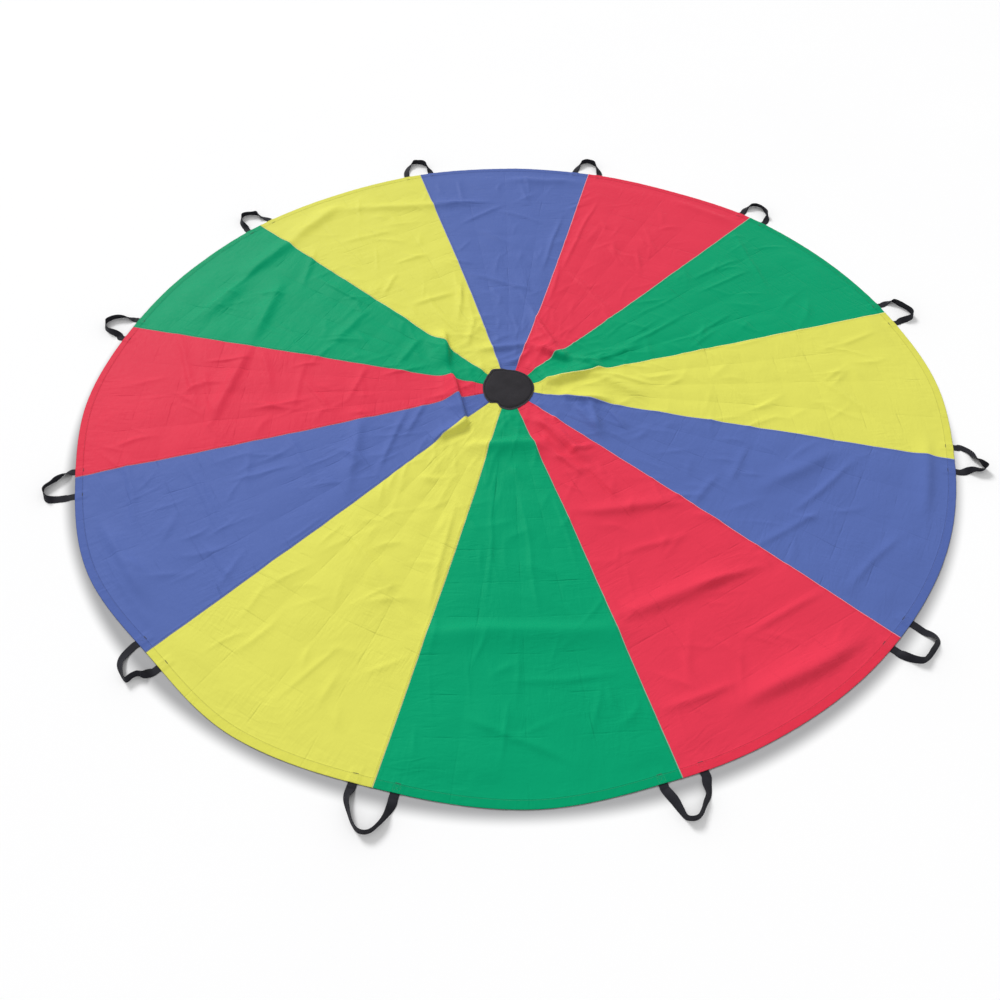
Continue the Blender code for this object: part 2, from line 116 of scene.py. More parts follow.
# The main folds: middle x and y, heading in degrees, half length, half width and height, then how much
# steeper the side to the right of the heading is. All but heading and steepness are shares of the radius.
# A fold's section is partly pointed and partly rounded, and its crest leans over to the steeper side.
POINTED_SHARE = 0.6
LEAN_SHARE = 0.5
FOLDS = (
    # round the patch, where the slack has gathered
    (-0.139, -0.031, 102, 0.087, 0.0150, 0.0220, 0.60),
    (-0.167, 0.147, 95, 0.062, 0.0170, 0.0180, 0.55),
    (-0.147, -0.140, 35, 0.047, 0.0140, 0.0130, 0.30),
    (-0.020, -0.190, 0, 0.087, 0.0190, 0.0120, -0.20),
    (0.133, 0.037, 22, 0.073, 0.0230, 0.0150, 0.40),
    (0.247, 0.007, -40, 0.073, 0.0200, 0.0095, 0.30),
    (0.167, -0.040, -15, 0.053, 0.0190, 0.0130, 0.30),
    (0.080, -0.147, -55, 0.053, 0.0130, 0.0095, 0.20),
    (0.127, -0.190, -60, 0.060, 0.0130, 0.0090, 0.20),
    (0.173, -0.113, -65, 0.060, 0.0140, 0.0095, 0.20),
    (0.100, 0.120, -35, 0.040, 0.0150, 0.0170, 0.30),
    (-0.013, 0.147, 3, 0.067, 0.0130, 0.0095, 0.20),
    (0.087, 0.200, 110, 0.067, 0.0120, 0.0070, 0.20),
    # the left side
    (-0.667, 0.553, 54, 0.093, 0.0230, 0.0095, 0.30),
    (-0.633, 0.317, 82, 0.100, 0.0190, 0.0087, 0.30),
    (-0.760, 0.360, 62, 0.080, 0.0200, 0.0060, 0.10),
    (-0.410, 0.245, 55, 0.067, 0.0150, 0.0060, 0.20),
    (-0.680, 0.027, 80, 0.127, 0.0150, 0.0067, 0.30),
    (-0.360, -0.209, 86, 0.107, 0.0160, 0.0060, 0.20),
    (-0.800, -0.493, -52, 0.107, 0.0150, 0.0060, 0.20),
    # the near side
    (-0.300, -0.520, -62, 0.100, 0.0200, 0.0053, 0.20),
    (0.007, -0.680, 0, 0.180, 0.0230, 0.0087, -0.30),
    (0.303, -0.600, 22, 0.127, 0.0210, 0.0100, 0.30),
    (0.233, -0.377, 4, 0.107, 0.0170, 0.0073, 0.30),
    (0.513, -0.773, 26, 0.133, 0.0210, 0.0120, 0.30),
    # the right side
    (0.620, -0.280, 28, 0.100, 0.0200, 0.0067, 0.20),
    (0.887, -0.307, 70, 0.107, 0.0170, 0.0060, 0.20),
    # the far side
    (0.573, 0.753, -42, 0.087, 0.0200, 0.0060, 0.20),
    (0.107, 0.930, -4, 0.093, 0.0200, 0.0060, 0.20),
    (-0.280, 0.800, 3, 0.187, 0.0200, 0.0080, 0.20),
    (-0.560, 0.720, 58, 0.093, 0.0220, 0.0093, 0.20),
)

# The finer wrinkles that show in the cloth, given in the same way, all of them a little steeper on one side
FINE_STEEPNESS = 0.25
FINE_FOLDS = (
    # the red and blue gores on the left
    (-0.800, 0.094, -68, 0.130, 0.0080, 0.0028),
    (-0.730, 0.014, -70, 0.070, 0.0070, 0.0026),
    (-0.699, 0.122, 5, 0.050, 0.0070, 0.0024),
    (-0.605, 0.086, -74, 0.075, 0.0080, 0.0028),
    (-0.516, 0.029, 88, 0.080, 0.0070, 0.0024),
    (-0.468, -0.014, -55, 0.060, 0.0070, 0.0028),
    (-0.375, 0.029, 75, 0.055, 0.0070, 0.0032),
    (-0.259, 0.072, 15, 0.050, 0.0080, 0.0030),
    (-0.480, -0.216, -62, 0.075, 0.0070, 0.0030),
    (-0.278, -0.166, 75, 0.090, 0.0080, 0.0042),
    (-0.231, -0.100, 70, 0.050, 0.0080, 0.0038),
    (-0.670, -0.331, -60, 0.120, 0.0070, 0.0028),
    (-0.562, -0.259, 20, 0.060, 0.0070, 0.0022),
    (-0.771, -0.576, -52, 0.140, 0.0070, 0.0040),
    (-0.836, -0.303, -70, 0.090, 0.0070, 0.0030),
    (-0.605, -0.504, -50, 0.060, 0.0070, 0.0022),
    # the green and yellow gores at the upper left
    (-0.552, 0.497, 85, 0.075, 0.0080, 0.0036),
    (-0.447, 0.389, -38, 0.090, 0.0080, 0.0036),
    (-0.295, 0.288, -45, 0.070, 0.0080, 0.0040),
    (-0.749, 0.403, 60, 0.130, 0.0070, 0.0030),
    (-0.252, 0.144, 60, 0.050, 0.0080, 0.0040),
    (-0.267, 0.536, 25, 0.045, 0.0070, 0.0028),
    (-0.137, 0.516, -20, 0.030, 0.0070, 0.0028),
    (-0.324, 0.418, 75, 0.045, 0.0070, 0.0032),
    (-0.202, 0.353, 25, 0.055, 0.0090, 0.0040),
    (-0.131, 0.346, 88, 0.075, 0.0080, 0.0038),
    (-0.159, 0.252, -55, 0.055, 0.0080, 0.0042),
    (-0.101, 0.216, 80, 0.050, 0.0080, 0.0038),
    (-0.403, 0.648, 20, 0.070, 0.0090, 0.0022),
    # the blue and red gores furthest away
    (-0.022, 0.418, -25, 0.080, 0.0080, 0.0038),
    (0.050, 0.317, -70, 0.060, 0.0080, 0.0032),
    (-0.072, 0.756, 40, 0.070, 0.0080, 0.0032),
    (0.036, 0.735, -30, 0.070, 0.0080, 0.0032),
    (-0.130, 0.814, 6, 0.070, 0.0090, 0.0044),
    (-0.137, 0.879, -82, 0.060, 0.0060, 0.0022),
    (0.127, 0.605, 75, 0.120, 0.0070, 0.0036),
    (0.202, 0.634, 70, 0.170, 0.0070, 0.0032),
    (0.209, 0.375, -62, 0.110, 0.0080, 0.0044),
    (0.086, 0.209, -68, 0.070, 0.0090, 0.0050),
    (0.122, 0.425, 78, 0.080, 0.0070, 0.0034),
    (0.324, 0.490, -65, 0.080, 0.0070, 0.0026),
    # the green and yellow gores on the right
    (0.562, 0.461, 30, 0.080, 0.0070, 0.0024),
    (0.576, 0.403, 30, 0.080, 0.0070, 0.0024),
    (0.666, 0.504, 100, 0.120, 0.0070, 0.0032),
    (0.367, 0.209, 35, 0.090, 0.0080, 0.0034),
    (0.245, 0.115, 30, 0.070, 0.0090, 0.0044),
    (0.504, 0.216, 40, 0.070, 0.0070, 0.0024),
    (0.778, -0.050, -48, 0.090, 0.0090, 0.0022),
    (0.865, 0.159, 30, 0.050, 0.0080, 0.0022),
    # the blue and red gores at the lower right
    (0.403, -0.331, 50, 0.050, 0.0080, 0.0036),
    (0.670, -0.324, 40, 0.090, 0.0080, 0.0042),
    (0.490, -0.259, 60, 0.060, 0.0080, 0.0032),
    (0.857, -0.483, 60, 0.150, 0.0080, 0.0046),
    (0.908, -0.375, 66, 0.120, 0.0060, 0.0030),
    (0.548, -0.447, 30, 0.070, 0.0080, 0.0032),
    (0.706, -0.533, 45, 0.090, 0.0080, 0.0032),
    (0.411, -0.562, 20, 0.070, 0.0080, 0.0046),
    (0.310, -0.821, 20, 0.070, 0.0080, 0.0042),
    (0.115, -0.245, -50, 0.060, 0.0080, 0.0042),
    (0.187, -0.303, -55, 0.050, 0.0080, 0.0036),
    (0.504, -0.648, 30, 0.090, 0.0080, 0.0040),
    (0.274, -0.476, 15, 0.060, 0.0080, 0.0032),
    (0.620, -0.778, 32, 0.080, 0.0080, 0.0042),
    # the green and yellow gores nearest
    (-0.014, -0.893, -25, 0.090, 0.0080, 0.0032),
    (-0.055, -0.447, 86, 0.140, 0.0060, 0.0022),
    (0.022, -0.490, -86, 0.130, 0.0060, 0.0022),
    (0.100, -0.432, -78, 0.090, 0.0060, 0.0020),
    (0.072, -0.778, 3, 0.090, 0.0070, 0.0026),
    (-0.288, -0.519, -52, 0.110, 0.0080, 0.0032),
    (-0.157, -0.490, 80, 0.120, 0.0070, 0.0032),
    (-0.389, -0.749, 45, 0.060, 0.0070, 0.0018),
    # beside the patch, on the right
    (0.186, 0.078, -42, 0.042, 0.0120, 0.0110),
    (0.186, -0.100, -84, 0.045, 0.0090, 0.0090),
    (0.232, -0.108, -60, 0.040, 0.0085, 0.0060),
    (0.150, -0.205, 20, 0.030, 0.0085, 0.0065),
    (0.285, 0.020, -18, 0.055, 0.0090, 0.0040),
)

# The small wrinkles: their seed and how many, where they start and end as shares of the radius and how much
# closer they lie near the middle, how far they turn from pointing at it, and their longest half length,
# narrowest and widest half width, and height as a share of the width
WRINKLE_SEED = 7
WRINKLE_COUNT = 620
WRINKLE_REACHES = (0.09, 0.93)
WRINKLE_CROWDING = 1.15
WRINKLE_TURN = 0.80
WRINKLE_LENGTH = 0.090
WRINKLE_WIDTHS = (0.0055, 0.0140)
WRINKLE_HEIGHT_SHARE = 0.30

# The sheets: rows from the middle to the hem's start, then rows across the turned hem. Each hem row is a
# share of the way from the hem's start to its edge and how many of its layers lie below it.
GORE_ROWS = 190
TIP_ROW = 5
HEM_START_SHARE = 1.15
HEM_ROWS = (
    (0.10, 0.0), (0.20, 1.0), (0.26, 1.0), (0.34, 1.0), (0.50, 1.0), (0.68, 1.0), (0.84, 1.0), (0.96, 1.0),
    (1.00, 0.5), (0.96, 0.0), (0.80, 0.0), (0.60, 0.0), (0.40, 0.0), (0.24, 0.0),
)
LAYER_HEIGHT = 0.0008
HEM_LAYER_HEIGHT = LAYER_HEIGHT * 0.9
CLOTH_WALL = 0.0003
CLOTH_GAP = 0.00005

# The felled seams: columns of the right edge that lie under, how high the upper layer rides from column to
# column and how low the lower one lies, in shares of a layer, and where the lap begins beside the patch
SEAM_COLUMNS = 2
SEAM_COLUMN_WIDTH = CANOPY_RADIUS * GORE_ANGLE / GORE_ROWS
LAP_SHARES = (0.06, 0.85, 0.80, 0.0)
TUCK_SHARES = (0.0, -0.15, -0.35)
LAP_REACHES = (0.115, 0.135)

# The packing creases, and the relief of the cloth's finish
CREASES_PER_GORE = 4
CREASE_SPACING = 0.120
CREASE_WIDTH = 0.0042
CREASE_WANDER = 0.011
CREASE_RELIEF = 0.00120
STREAK_RELIEF = 0.00080
CRINKLE_RELIEF = 0.00060
PUCKER_RELIEF = 0.00035
WEAVE_RELIEF = 0.00002

# Lines in the cloth's finish: how far in the hem's doubled cloth begins and its stitch line lies, how wide a
# seam's lap is and where its stitch lines lie, and how deep both kinds of line are
HEM_DOUBLED = (0.0256, 0.0246)
HEM_GROOVE = 0.0228
SEAM_LAP = 0.008
SEAM_GROOVES = (0.0018, 0.0068)
GROOVE_DEPTHS = (0.0006, 0.0004)

# The pitches of the webbing's ribs and steps, and of the patch's weave
RIB_PITCH = 0.0016
STEP_PITCH = 0.0022
PATCH_WEAVE_PITCH = 0.0011

# The handles, as in the frame's own source: how far each one's middle lies from its seam, in shares of its
# spread, and the points its strap passes through, along the hem, out from it and its turn in degrees
END_SEWN = 0.030
FOLD_OUT = 0.00398
ROOT_RUN = 0.010
SEAM_OFFSET_SHARES = (0.04, 0.06, -0.11, -0.12, -0.01, 0.06, 0.01, 0.02, 0.11, 0.26, 0.12, 0.03)
LOOP_SHARES = (
    # the two handles furthest away
    ((0.44, 0.44, 16), (0.26, 0.80, 30), (0.04, 1.02, 74), (-0.18, 0.96, 80), (-0.38, 0.79, 96),
     (-0.48, 0.44, 60)),
    ((0.45, 0.43, 22), (0.38, 0.74, 70), (0.21, 0.93, 78), (0.03, 0.94, 76), (-0.19, 0.81, 84),
     (-0.35, 0.53, 50)),
    # down the right side
    ((0.55, 0.35, 12), (0.53, 0.64, 60), (0.40, 0.87, 62), (0.21, 0.93, 60), (-0.01, 0.83, 74),
     (-0.26, 0.66, 88), (-0.41, 0.50, 60), (-0.47, 0.28, 20)),
    ((0.55, 0.33, 5), (0.53, 0.58, 60), (0.33, 0.71, 84), (0.09, 0.84, 80), (-0.19, 0.91, 86),
     (-0.41, 0.82, 75), (-0.50, 0.52, 60), (-0.49, 0.25, 28)),
    ((0.54, 0.23, 0), (0.40, 0.52, 10), (0.19, 0.63, 22), (-0.02, 0.81, 75), (-0.18, 0.95, 95),
     (-0.33, 0.83, 105), (-0.38, 0.63, 104), (-0.43, 0.43, 60), (-0.48, 0.24, 10)),
    ((0.49, 0.38, 2), (0.53, 0.62, 20), (0.46, 0.79, 45), (0.25, 0.84, 54), (0.02, 0.85, 54),
     (-0.17, 0.85, 62), (-0.36, 0.79, 72), (-0.50, 0.52, 60), (-0.52, 0.27, 20)),
    # the two nearest
    ((0.43, 0.32, 14), (0.35, 0.59, 50), (0.19, 0.78, 62), (0.05, 0.95, 68), (-0.11, 1.05, 78),
     (-0.32, 0.98, 82), (-0.38, 0.74, 62), (-0.42, 0.47, 34)),
    ((0.52, 0.31, 25), (0.49, 0.56, 65), (0.40, 0.83, 86), (0.24, 1.08, 88), (0.02, 1.13, 80),
     (-0.17, 0.99, 76), (-0.35, 0.72, 66), (-0.50, 0.42, 45)),
    # up the left side
    ((0.50, 0.20, 10), (0.46, 0.41, 60), (0.32, 0.52, 82), (0.27, 0.67, 88), (0.25, 0.86, 80),
     (-0.05, 0.79, 55), (-0.29, 0.67, 28), (-0.43, 0.47, 5)),
    ((0.52, 0.26, 10), (0.49, 0.56, 12), (0.48, 0.78, 50), (0.35, 0.90, 66), (0.12, 0.96, 80),
     (-0.07, 0.90, 66), (-0.16, 0.74, 68), (-0.28, 0.55, 80), (-0.42, 0.31, 50)),
    ((0.41, 0.24, 14), (0.38, 0.47, 60), (0.33, 0.73, 78), (0.16, 0.96, 65), (-0.08, 1.10, 76),
     (-0.29, 1.00, 74), (-0.44, 0.76, 70), (-0.50, 0.46, 50)),
    ((0.46, 0.25, 15), (0.45, 0.51, 58), (0.34, 0.79, 58), (0.15, 1.03, 80), (-0.07, 1.05, 68),
     (-0.26, 0.88, 68), (-0.39, 0.71, 80), (-0.39, 0.45, 35)),
)

# The straps' sheets: cross-sections along them, columns across and steps of the curve between points, then
# how far to either side of the fold, and how high, the two points lie at a strap's bend
STRAP_STATIONS = 150
STRAP_COLUMNS = 6
CURVE_STEPS = 8
BEND_RUN = 0.006
BEND_HEIGHT = 0.0006

# The floor: where the middle of the soft shadow painted in front of the canopy lies, and where it fades
# beyond the canopy's radius
SHADOW_MIDDLE = (-0.012, -0.043, 0)
SHADOW_FADE = (-0.017, 0.031)
FLOOR_HALF = 60.0
FLOOR_DROP = 0.0003

# The light: the horizon glows up to a share of the sky's height, and a wide window lies behind, on the left
HORIZON_STRENGTH = 0.98
HORIZON_GLOW_HEIGHT = 0.36
WINDOW_SPREAD = 18
WINDOW_HEADING = 28

# The camera: its place, its lens in millimetres, and how far it looks down and rolls in degrees
CAMERA_PLACE = (-0.0545, -2.3427, 2.1475)
CAMERA_LENS = 31.648
CAMERA_DOWN = 49.724
CAMERA_ROLL = -1.0346

# The patch's outline, anticlockwise from the right, in shares of its radius: worn and puckered, not round
PATCH_OUTLINE_SHARES = (
    1.00, 1.00, 1.01, 1.04, 1.05, 1.07, 1.08, 1.20, 1.29, 1.16, 1.08, 1.05,
    1.03, 1.04, 1.08, 1.12, 0.97, 1.17, 1.24, 1.18, 1.11, 1.06, 1.02, 1.00,
)

# The patches' sheets: rings and spokes, where the stitch line lies and how wide its groove is, in shares of
# the radius, and how high the top one puffs up, waves and curls at its rim
PATCH_RINGS = 30
PATCH_SPOKES = 144
PATCH_WALL = 0.0008
PATCH_STITCH_SHARE = 0.93
PATCH_GROOVE_SHARE = 0.030
PATCH_PUFF = 0.0022
PATCH_WAVE = 0.0020
PATCH_CURL = 0.0010

# The stitches: their sizes, and how much of a stitch's pitch its thread takes up
STITCH_WIDTH = 0.0007
STITCH_HEIGHT = 0.00035
STITCH_SHARE = 0.72
PATCH_STITCH_WIDTH = 0.0011
SEAM_STITCH_INSETS = (0.0022, 0.0068)
SEAM_STITCH_START = 0.108

# The stitches that hold the straps' ends: a box seen on the hem, and a dense dark bar along its inner side,
# each so far in from the hem's edge in shares of the hem's width
BOX_SIDE = 0.019
BOX_PITCH = 0.0032
BOX_INSET_SHARE = 0.52
TACK_PITCH = 0.0011
TACK_LENGTH = 0.0018
TACK_SHARE = 0.60
TACK_INSET_SHARE = 1.04


class ParachuteSizes(bpy.types.PropertyGroup):
    """Sizes of the sewn pieces."""

    hem_width: FloatProperty(
        name="Hem width", description="Width of the turned hem", default=0.025, min=0.005, unit="LENGTH"
    )
    patch_radius: FloatProperty(
        name="Patch radius", description="Radius of the round patch", default=0.091, min=0.02, unit="LENGTH"
    )
    webbing_width: FloatProperty(
        name="Webbing width", description="Width of the handles' webbing", default=0.025, unit="LENGTH"
    )
    webbing_thickness: FloatProperty(
        name="Webbing thickness", description="Thickness of the webbing", default=0.0011, unit="LENGTH"
    )
    handle_spread: FloatProperty(
        name="Handle spread", description="Distance between a handle's two ends", default=0.112, unit="LENGTH"
    )
    handle_reach: FloatProperty(
        name="Handle reach", description="How far a handle reaches past the hem", default=0.100, unit="LENGTH"
    )
    stitch_length: FloatProperty(
        name="Stitch length", description="Length of one stitch with its gap", default=0.0040, unit="LENGTH"
    )


class ParachuteColours(bpy.types.PropertyGroup):
    """Colours of the cloth and the webbing."""

    blue: FloatVectorProperty(
        name="Blue", description="The blue gores", subtype="COLOR", default=CLOTH_COLOURS["blue"]
    )
    red: FloatVectorProperty(
        name="Red", description="The red gores", subtype="COLOR", default=CLOTH_COLOURS["red"]
    )
    green: FloatVectorProperty(
        name="Green", description="The green gores", subtype="COLOR", default=CLOTH_COLOURS["green"]
    )
    yellow: FloatVectorProperty(
        name="Yellow", description="The yellow gores", subtype="COLOR", default=CLOTH_COLOURS["yellow"]
    )
    webbing: FloatVectorProperty(
        name="Webbing", description="The handles' straps", subtype="COLOR", default=(0.015, 0.015, 0.020)
    )
    patch: FloatVectorProperty(
        name="Patch", description="The round patch", subtype="COLOR", default=(0.024, 0.022, 0.026)
    )


class ParachuteStage(bpy.types.PropertyGroup):
    """Light on the floor."""

    sky_strength: FloatProperty(
        name="Sky strength", description="Strength of the even light", default=0.60, min=0
    )
    sun_strength: FloatProperty(
        name="Window strength", description="Strength of the soft light from behind", default=2.05, min=0
    )
    sun_height: FloatProperty(
        name="Window height", description="Height of the light from behind", default=math.radians(37),
        subtype="ANGLE"
    )
    # how dark the soft shadow painted into the floor's colour in front of the hem is
    shadow_depth: FloatProperty(
        name="Shadow depth", description="Darkness of the soft shadow in front of the hem", default=0.66,
        subtype="FACTOR"
    )


def sizes():
    return bpy.context.scene.parachute_sizes


def colours():
    return bpy.context.scene.parachute_colours


def stage_settings():
    return bpy.context.scene.parachute_stage


class Wire:
    """A shader socket that works in sums: an expression on it adds the Math nodes."""

    def __init__(self, finish, socket):
        self.finish = finish
        self.socket = socket

    def maths(self, operation, *values):
        return self.finish.add("ShaderNodeMath", {"operation": operation}, dict(enumerate(values)))

    def __add__(self, other):
        return self.maths("ADD", self, other)

    def __sub__(self, other):
        return self.maths("SUBTRACT", self, other)

    def __mul__(self, other):
        return self.maths("MULTIPLY", self, other)

    def __truediv__(self, other):
        return self.maths("DIVIDE", self, other)

    def __rsub__(self, other):
        return self.maths("SUBTRACT", other, self)

    def __mod__(self, other):
        return self.maths("FLOORED_MODULO", self, other)

    def __abs__(self):
        return self.maths("ABSOLUTE", self)

    __radd__ = __add__
    __rmul__ = __mul__

    def sine(self):
        return self.maths("SINE", self)

    def near(self, width):
        """1 where the value is 0, falling to 0 at the width."""
        share = self.finish.clamped(1 - abs(self) / width)
        return share * share * (3 - 2 * share)

    def between(self, low, high):
        """0 up to low, 1 from high, and an even rise between them."""
        return self.finish.clamped((self - low) / (high - low))


class Finish:
    """A material or a world under construction: its node tree and the shader that the nodes feed."""

    def __init__(self, owner, shader="Principled BSDF"):
        owner.use_nodes = True
        self.owner = owner
        self.nodes = owner.node_tree.nodes
        self.links = owner.node_tree.links
        self.shader = self.nodes[shader]

    def add(self, kind, settings, values, output=0):
        """A node of one kind with its settings first, then its sockets' values or links; gives an output."""
        node = self.nodes.new(kind)
        for name, value in settings.items():
            setattr(node, name, value)
        for key, value in values.items():
            self.feed(node.inputs[key], value)
        return Wire(self, node.outputs[output])

    def feed(self, socket, value):
        if isinstance(value, Wire):
            self.links.new(value.socket, socket)
        else:
            socket.default_value = value

    def set(self, **values):
        """Feed the shader's sockets: base_color becomes Base Color, and so on."""
        for name, value in values.items():
            self.feed(self.shader.inputs[name.replace("_", " ").title().replace("Ior", "IOR")], value)

    def clamped(self, value):
        return self.add("ShaderNodeClamp", {}, {"Value": value})

    def uv(self, name):
        """A UV map's place, and its two values in metres."""
        place = self.add("ShaderNodeUVMap", {"uv_map": name}, {})
        return place, *(self.add("ShaderNodeSeparateXYZ", {}, {0: place}, axis) for axis in (0, 1))

    def object_place(self):
        return self.add("ShaderNodeTexCoord", {}, {}, "Object")

    def noise(self, place, scale, detail=3.0, roughness=0.55, distortion=0.0):
        values = {"Scale": scale, "Detail": detail, "Roughness": roughness, "Distortion": distortion}
        return self.add("ShaderNodeTexNoise", {}, {"Vector": place, **values})

    def vector(self, operation, first, second=(0, 0, 0), output=0):
        return self.add("ShaderNodeVectorMath", {"operation": operation}, {0: first, 1: second}, output)

    def mix(self, factor, first, second):
        values = {0: factor, 6: first, 7: second}
        return self.add("ShaderNodeMix", {"data_type": "RGBA"}, values, 2)

    def bump(self, height):
        return self.add("ShaderNodeBump", {}, {"Height": height, "Strength": 1.0, "Distance": 1.0})


def opaque(colour):
    return (*colour, 1)


def shaded(colour, factor):
    """A colour made darker or lighter by a factor, up to full."""
    return opaque([min(1, c * factor) for c in colour])


def cloth_finish(name, colour, seed):
    """Satin taffeta, packed folded: creases both ways, crinkles, a fine weave, doubled edges, painted shade
    and highlights.
    """
    finish = Finish(bpy.data.materials.new(f"cloth_{name}"))
    place, _, down_gore = finish.uv("pattern")
    _, share, radius = finish.uv("gore")

    # packing creases, which wander, break off and stop short of the hem
    inside_hem = 1 - radius.between(CANOPY_RADIUS - 0.080, CANOPY_RADIUS - 0.040)
    lengthwise = ((share * CREASES_PER_GORE + 0.5) % 1 - 0.5) * radius * (GORE_ANGLE / CREASES_PER_GORE)
    crosswise = ((down_gore / CREASE_SPACING + 0.5) % 1 - 0.5) * CREASE_SPACING
    kept = finish.noise(place, 2.3 + seed, 2.0).between(0.40, 0.62)
    also_kept = 1 - finish.noise(place, 1.9 + seed, 2.0).between(0.38, 0.60)
    wander = (finish.noise(place, 9.0, 2.0) - 0.5) * CREASE_WANDER
    broken = finish.noise(place, 11.0 + seed, 2.0).between(0.42, 0.60)
    down_crease = (lengthwise + wander).near(CREASE_WIDTH) * kept
    cross_crease = (crosswise + wander).near(CREASE_WIDTH) * also_kept * inside_hem
    crease = finish.clamped((down_crease + cross_crease) * broken)

    # faint streaks both ways, crinkles, clouds of tone and the weave
    down_streaks = finish.noise(finish.vector("MULTIPLY", place, (34, 9, 1)), 1.0, distortion=0.3)
    cross_streaks = finish.noise(finish.vector("MULTIPLY", place, (8, 30, 1)), 1.0, distortion=0.5)
    streaks = (1 - abs(down_streaks - 0.5) * 5) * kept + (1 - abs(cross_streaks - 0.5) * 5) * also_kept
    crinkle = finish.noise(place, 60.0, 4.0, 0.6, 0.6)
    cloud = finish.noise(place, 4.0)
    weave = finish.noise(place, 1100.0, 1.0)

    # doubled cloth and stitch lines at the seams and the hem, with painted shade in the stitch grooves and at
    # the hem's rolled edge, and a painted highlight along each seam's lap
    from_seam = share * radius * GORE_ANGLE
    to_seam = (1 - share) * radius * GORE_ANGLE
    doubled = 1 - abs(from_seam - SEAM_LAP / 2).between(0.0038, 0.0052)
    hem = radius.between(*(CANOPY_RADIUS - inset for inset in HEM_DOUBLED))
    stitched = abs(radius - (CANOPY_RADIUS - HEM_GROOVE)).near(0.0022)
    outer_row, inner_row = (abs(from_seam - inset).near(0.0012) for inset in SEAM_GROOVES)
    seam_stitched = outer_row + inner_row
    rolled = radius.between(CANOPY_RADIUS - 0.0015, CANOPY_RADIUS + 0.0015) * 0.4
    # a painted highlight along each seam lap's edge
    edge_light = (1 - from_seam.between(0.0016, 0.0034)) * radius.between(0.12, 0.15)

    painted_shade = shaded(colour, 0.72)
    base = finish.mix(
        finish.clamped(doubled + hem) * 0.9, opaque(colour), opaque([c**1.05 * 0.98 for c in colour])
    )
    base = finish.mix((cloud - 0.35) * 0.7, base, shaded(colour, 0.90))
    # painted shade along the packing creases
    base = finish.mix(crease * 0.22, base, painted_shade)
    # painted shade in the hem's and the seams' stitch grooves and at the hem's rolled edge
    base = finish.mix(finish.clamped(stitched * 0.6 + seam_stitched * 0.15 + rolled), base, painted_shade)
    # painted highlight: the lap's edge mixed towards white
    base = finish.mix(edge_light * 0.8, base, opaque([c + (1 - c) * 0.38 for c in colour]))
    groove = stitched * GROOVE_DEPTHS[0] + seam_stitched * GROOVE_DEPTHS[1]
    height = crinkle * CRINKLE_RELIEF + streaks * STREAK_RELIEF - crease * CREASE_RELIEF - groove
    pucker = finish.noise(place, 160.0, 2.0) * finish.clamped(hem + 1 - to_seam.between(0.008, 0.014))
    finish.set(
        base_color=base,
        roughness=0.44 + crinkle * 0.16 + weave * 0.05,
        specular_ior_level=0.06,
        specular_tint=opaque([0.06 + 0.94 * c / max(colour) for c in colour]),
        normal=finish.bump(height + weave * WEAVE_RELIEF + pucker * PUCKER_RELIEF),
    )
    return finish.owner


def webbing_finish(colour):
    """Woven nylon webbing: close ribs along it and small steps across."""
    finish = Finish(bpy.data.materials.new("webbing"))
    place, across, along = finish.uv("strap")
    rib = (across * (2 * math.pi / RIB_PITCH)).sine()
    step = (along * (2 * math.pi / STEP_PITCH) + rib * 1.2).sine()
    fuzz = finish.noise(place, 700.0, 2.0)
    worn = finish.noise(place, 35.0).between(0.45, 0.75)
    weave = rib * 0.6 + step * 0.4
    # painted light and shade on the weave: the ribs' and steps' crests lighter, their grooves darker
    base = finish.mix(finish.clamped(weave * 0.5 + 0.5), shaded(colour, 0.62), shaded(colour, 1.45))
    finish.set(
        base_color=finish.mix(worn * 0.22, base, shaded(colour, 2.2)),
        roughness=0.62 + fuzz * 0.22,
        specular_ior_level=0.15,
        normal=finish.bump(weave * 0.00010 + fuzz * 0.00006),
    )
    return finish.owner


def patch_finish(colour):
    """A black doubled disc of coarser cloth, a little dusty, its stitch line sunk in with painted shade in
    it, and its rim lighter.
    """
    finish = Finish(bpy.data.materials.new("patch_cloth"))
    place, across, along = finish.uv("pattern")
    _, reach, _ = finish.uv("patch")
    warp, weft = ((side * (2 * math.pi / PATCH_WEAVE_PITCH)).sine() for side in (across, along))
    weave = warp * weft
    crinkle = finish.noise(place, 38.0, 5.0, 0.6, 0.6)
    dust = finish.noise(place, 14.0, 4.0).between(0.40, 0.80)
    stitched = abs(reach - PATCH_STITCH_SHARE).near(0.034)
    rim = reach.between(PATCH_STITCH_SHARE + 0.015, 0.985)
    base = finish.mix(finish.clamped(weave * 0.5 + 0.5), shaded(colour, 0.8), opaque(colour))
    base = finish.mix(dust * 0.35, base, shaded(colour, 2.1))
    # painted shade in the sunk stitch line
    base = finish.mix(stitched * 0.9, base, shaded(colour, 0.10))
    finish.set(
        base_color=finish.mix(rim, base, shaded(colour, 2.4)),
        roughness=0.66 + crinkle * 0.14,
        specular_ior_level=0.12,
        normal=finish.bump(crinkle * 0.0007 + weave * 0.00004),
    )
    return finish.owner


def thread_finish(name, colour):
    """Twisted sewing thread."""
    finish = Finish(bpy.data.materials.new(f"thread_{name}"))
    strand = finish.noise(finish.object_place(), 1400.0, 2.0)
    base = finish.mix(strand, shaded(colour, 0.75), shaded(colour, 1.2))
    finish.set(base_color=base, roughness=0.45 + strand * 0.2, normal=finish.bump(strand * 0.00005))
    return finish.owner


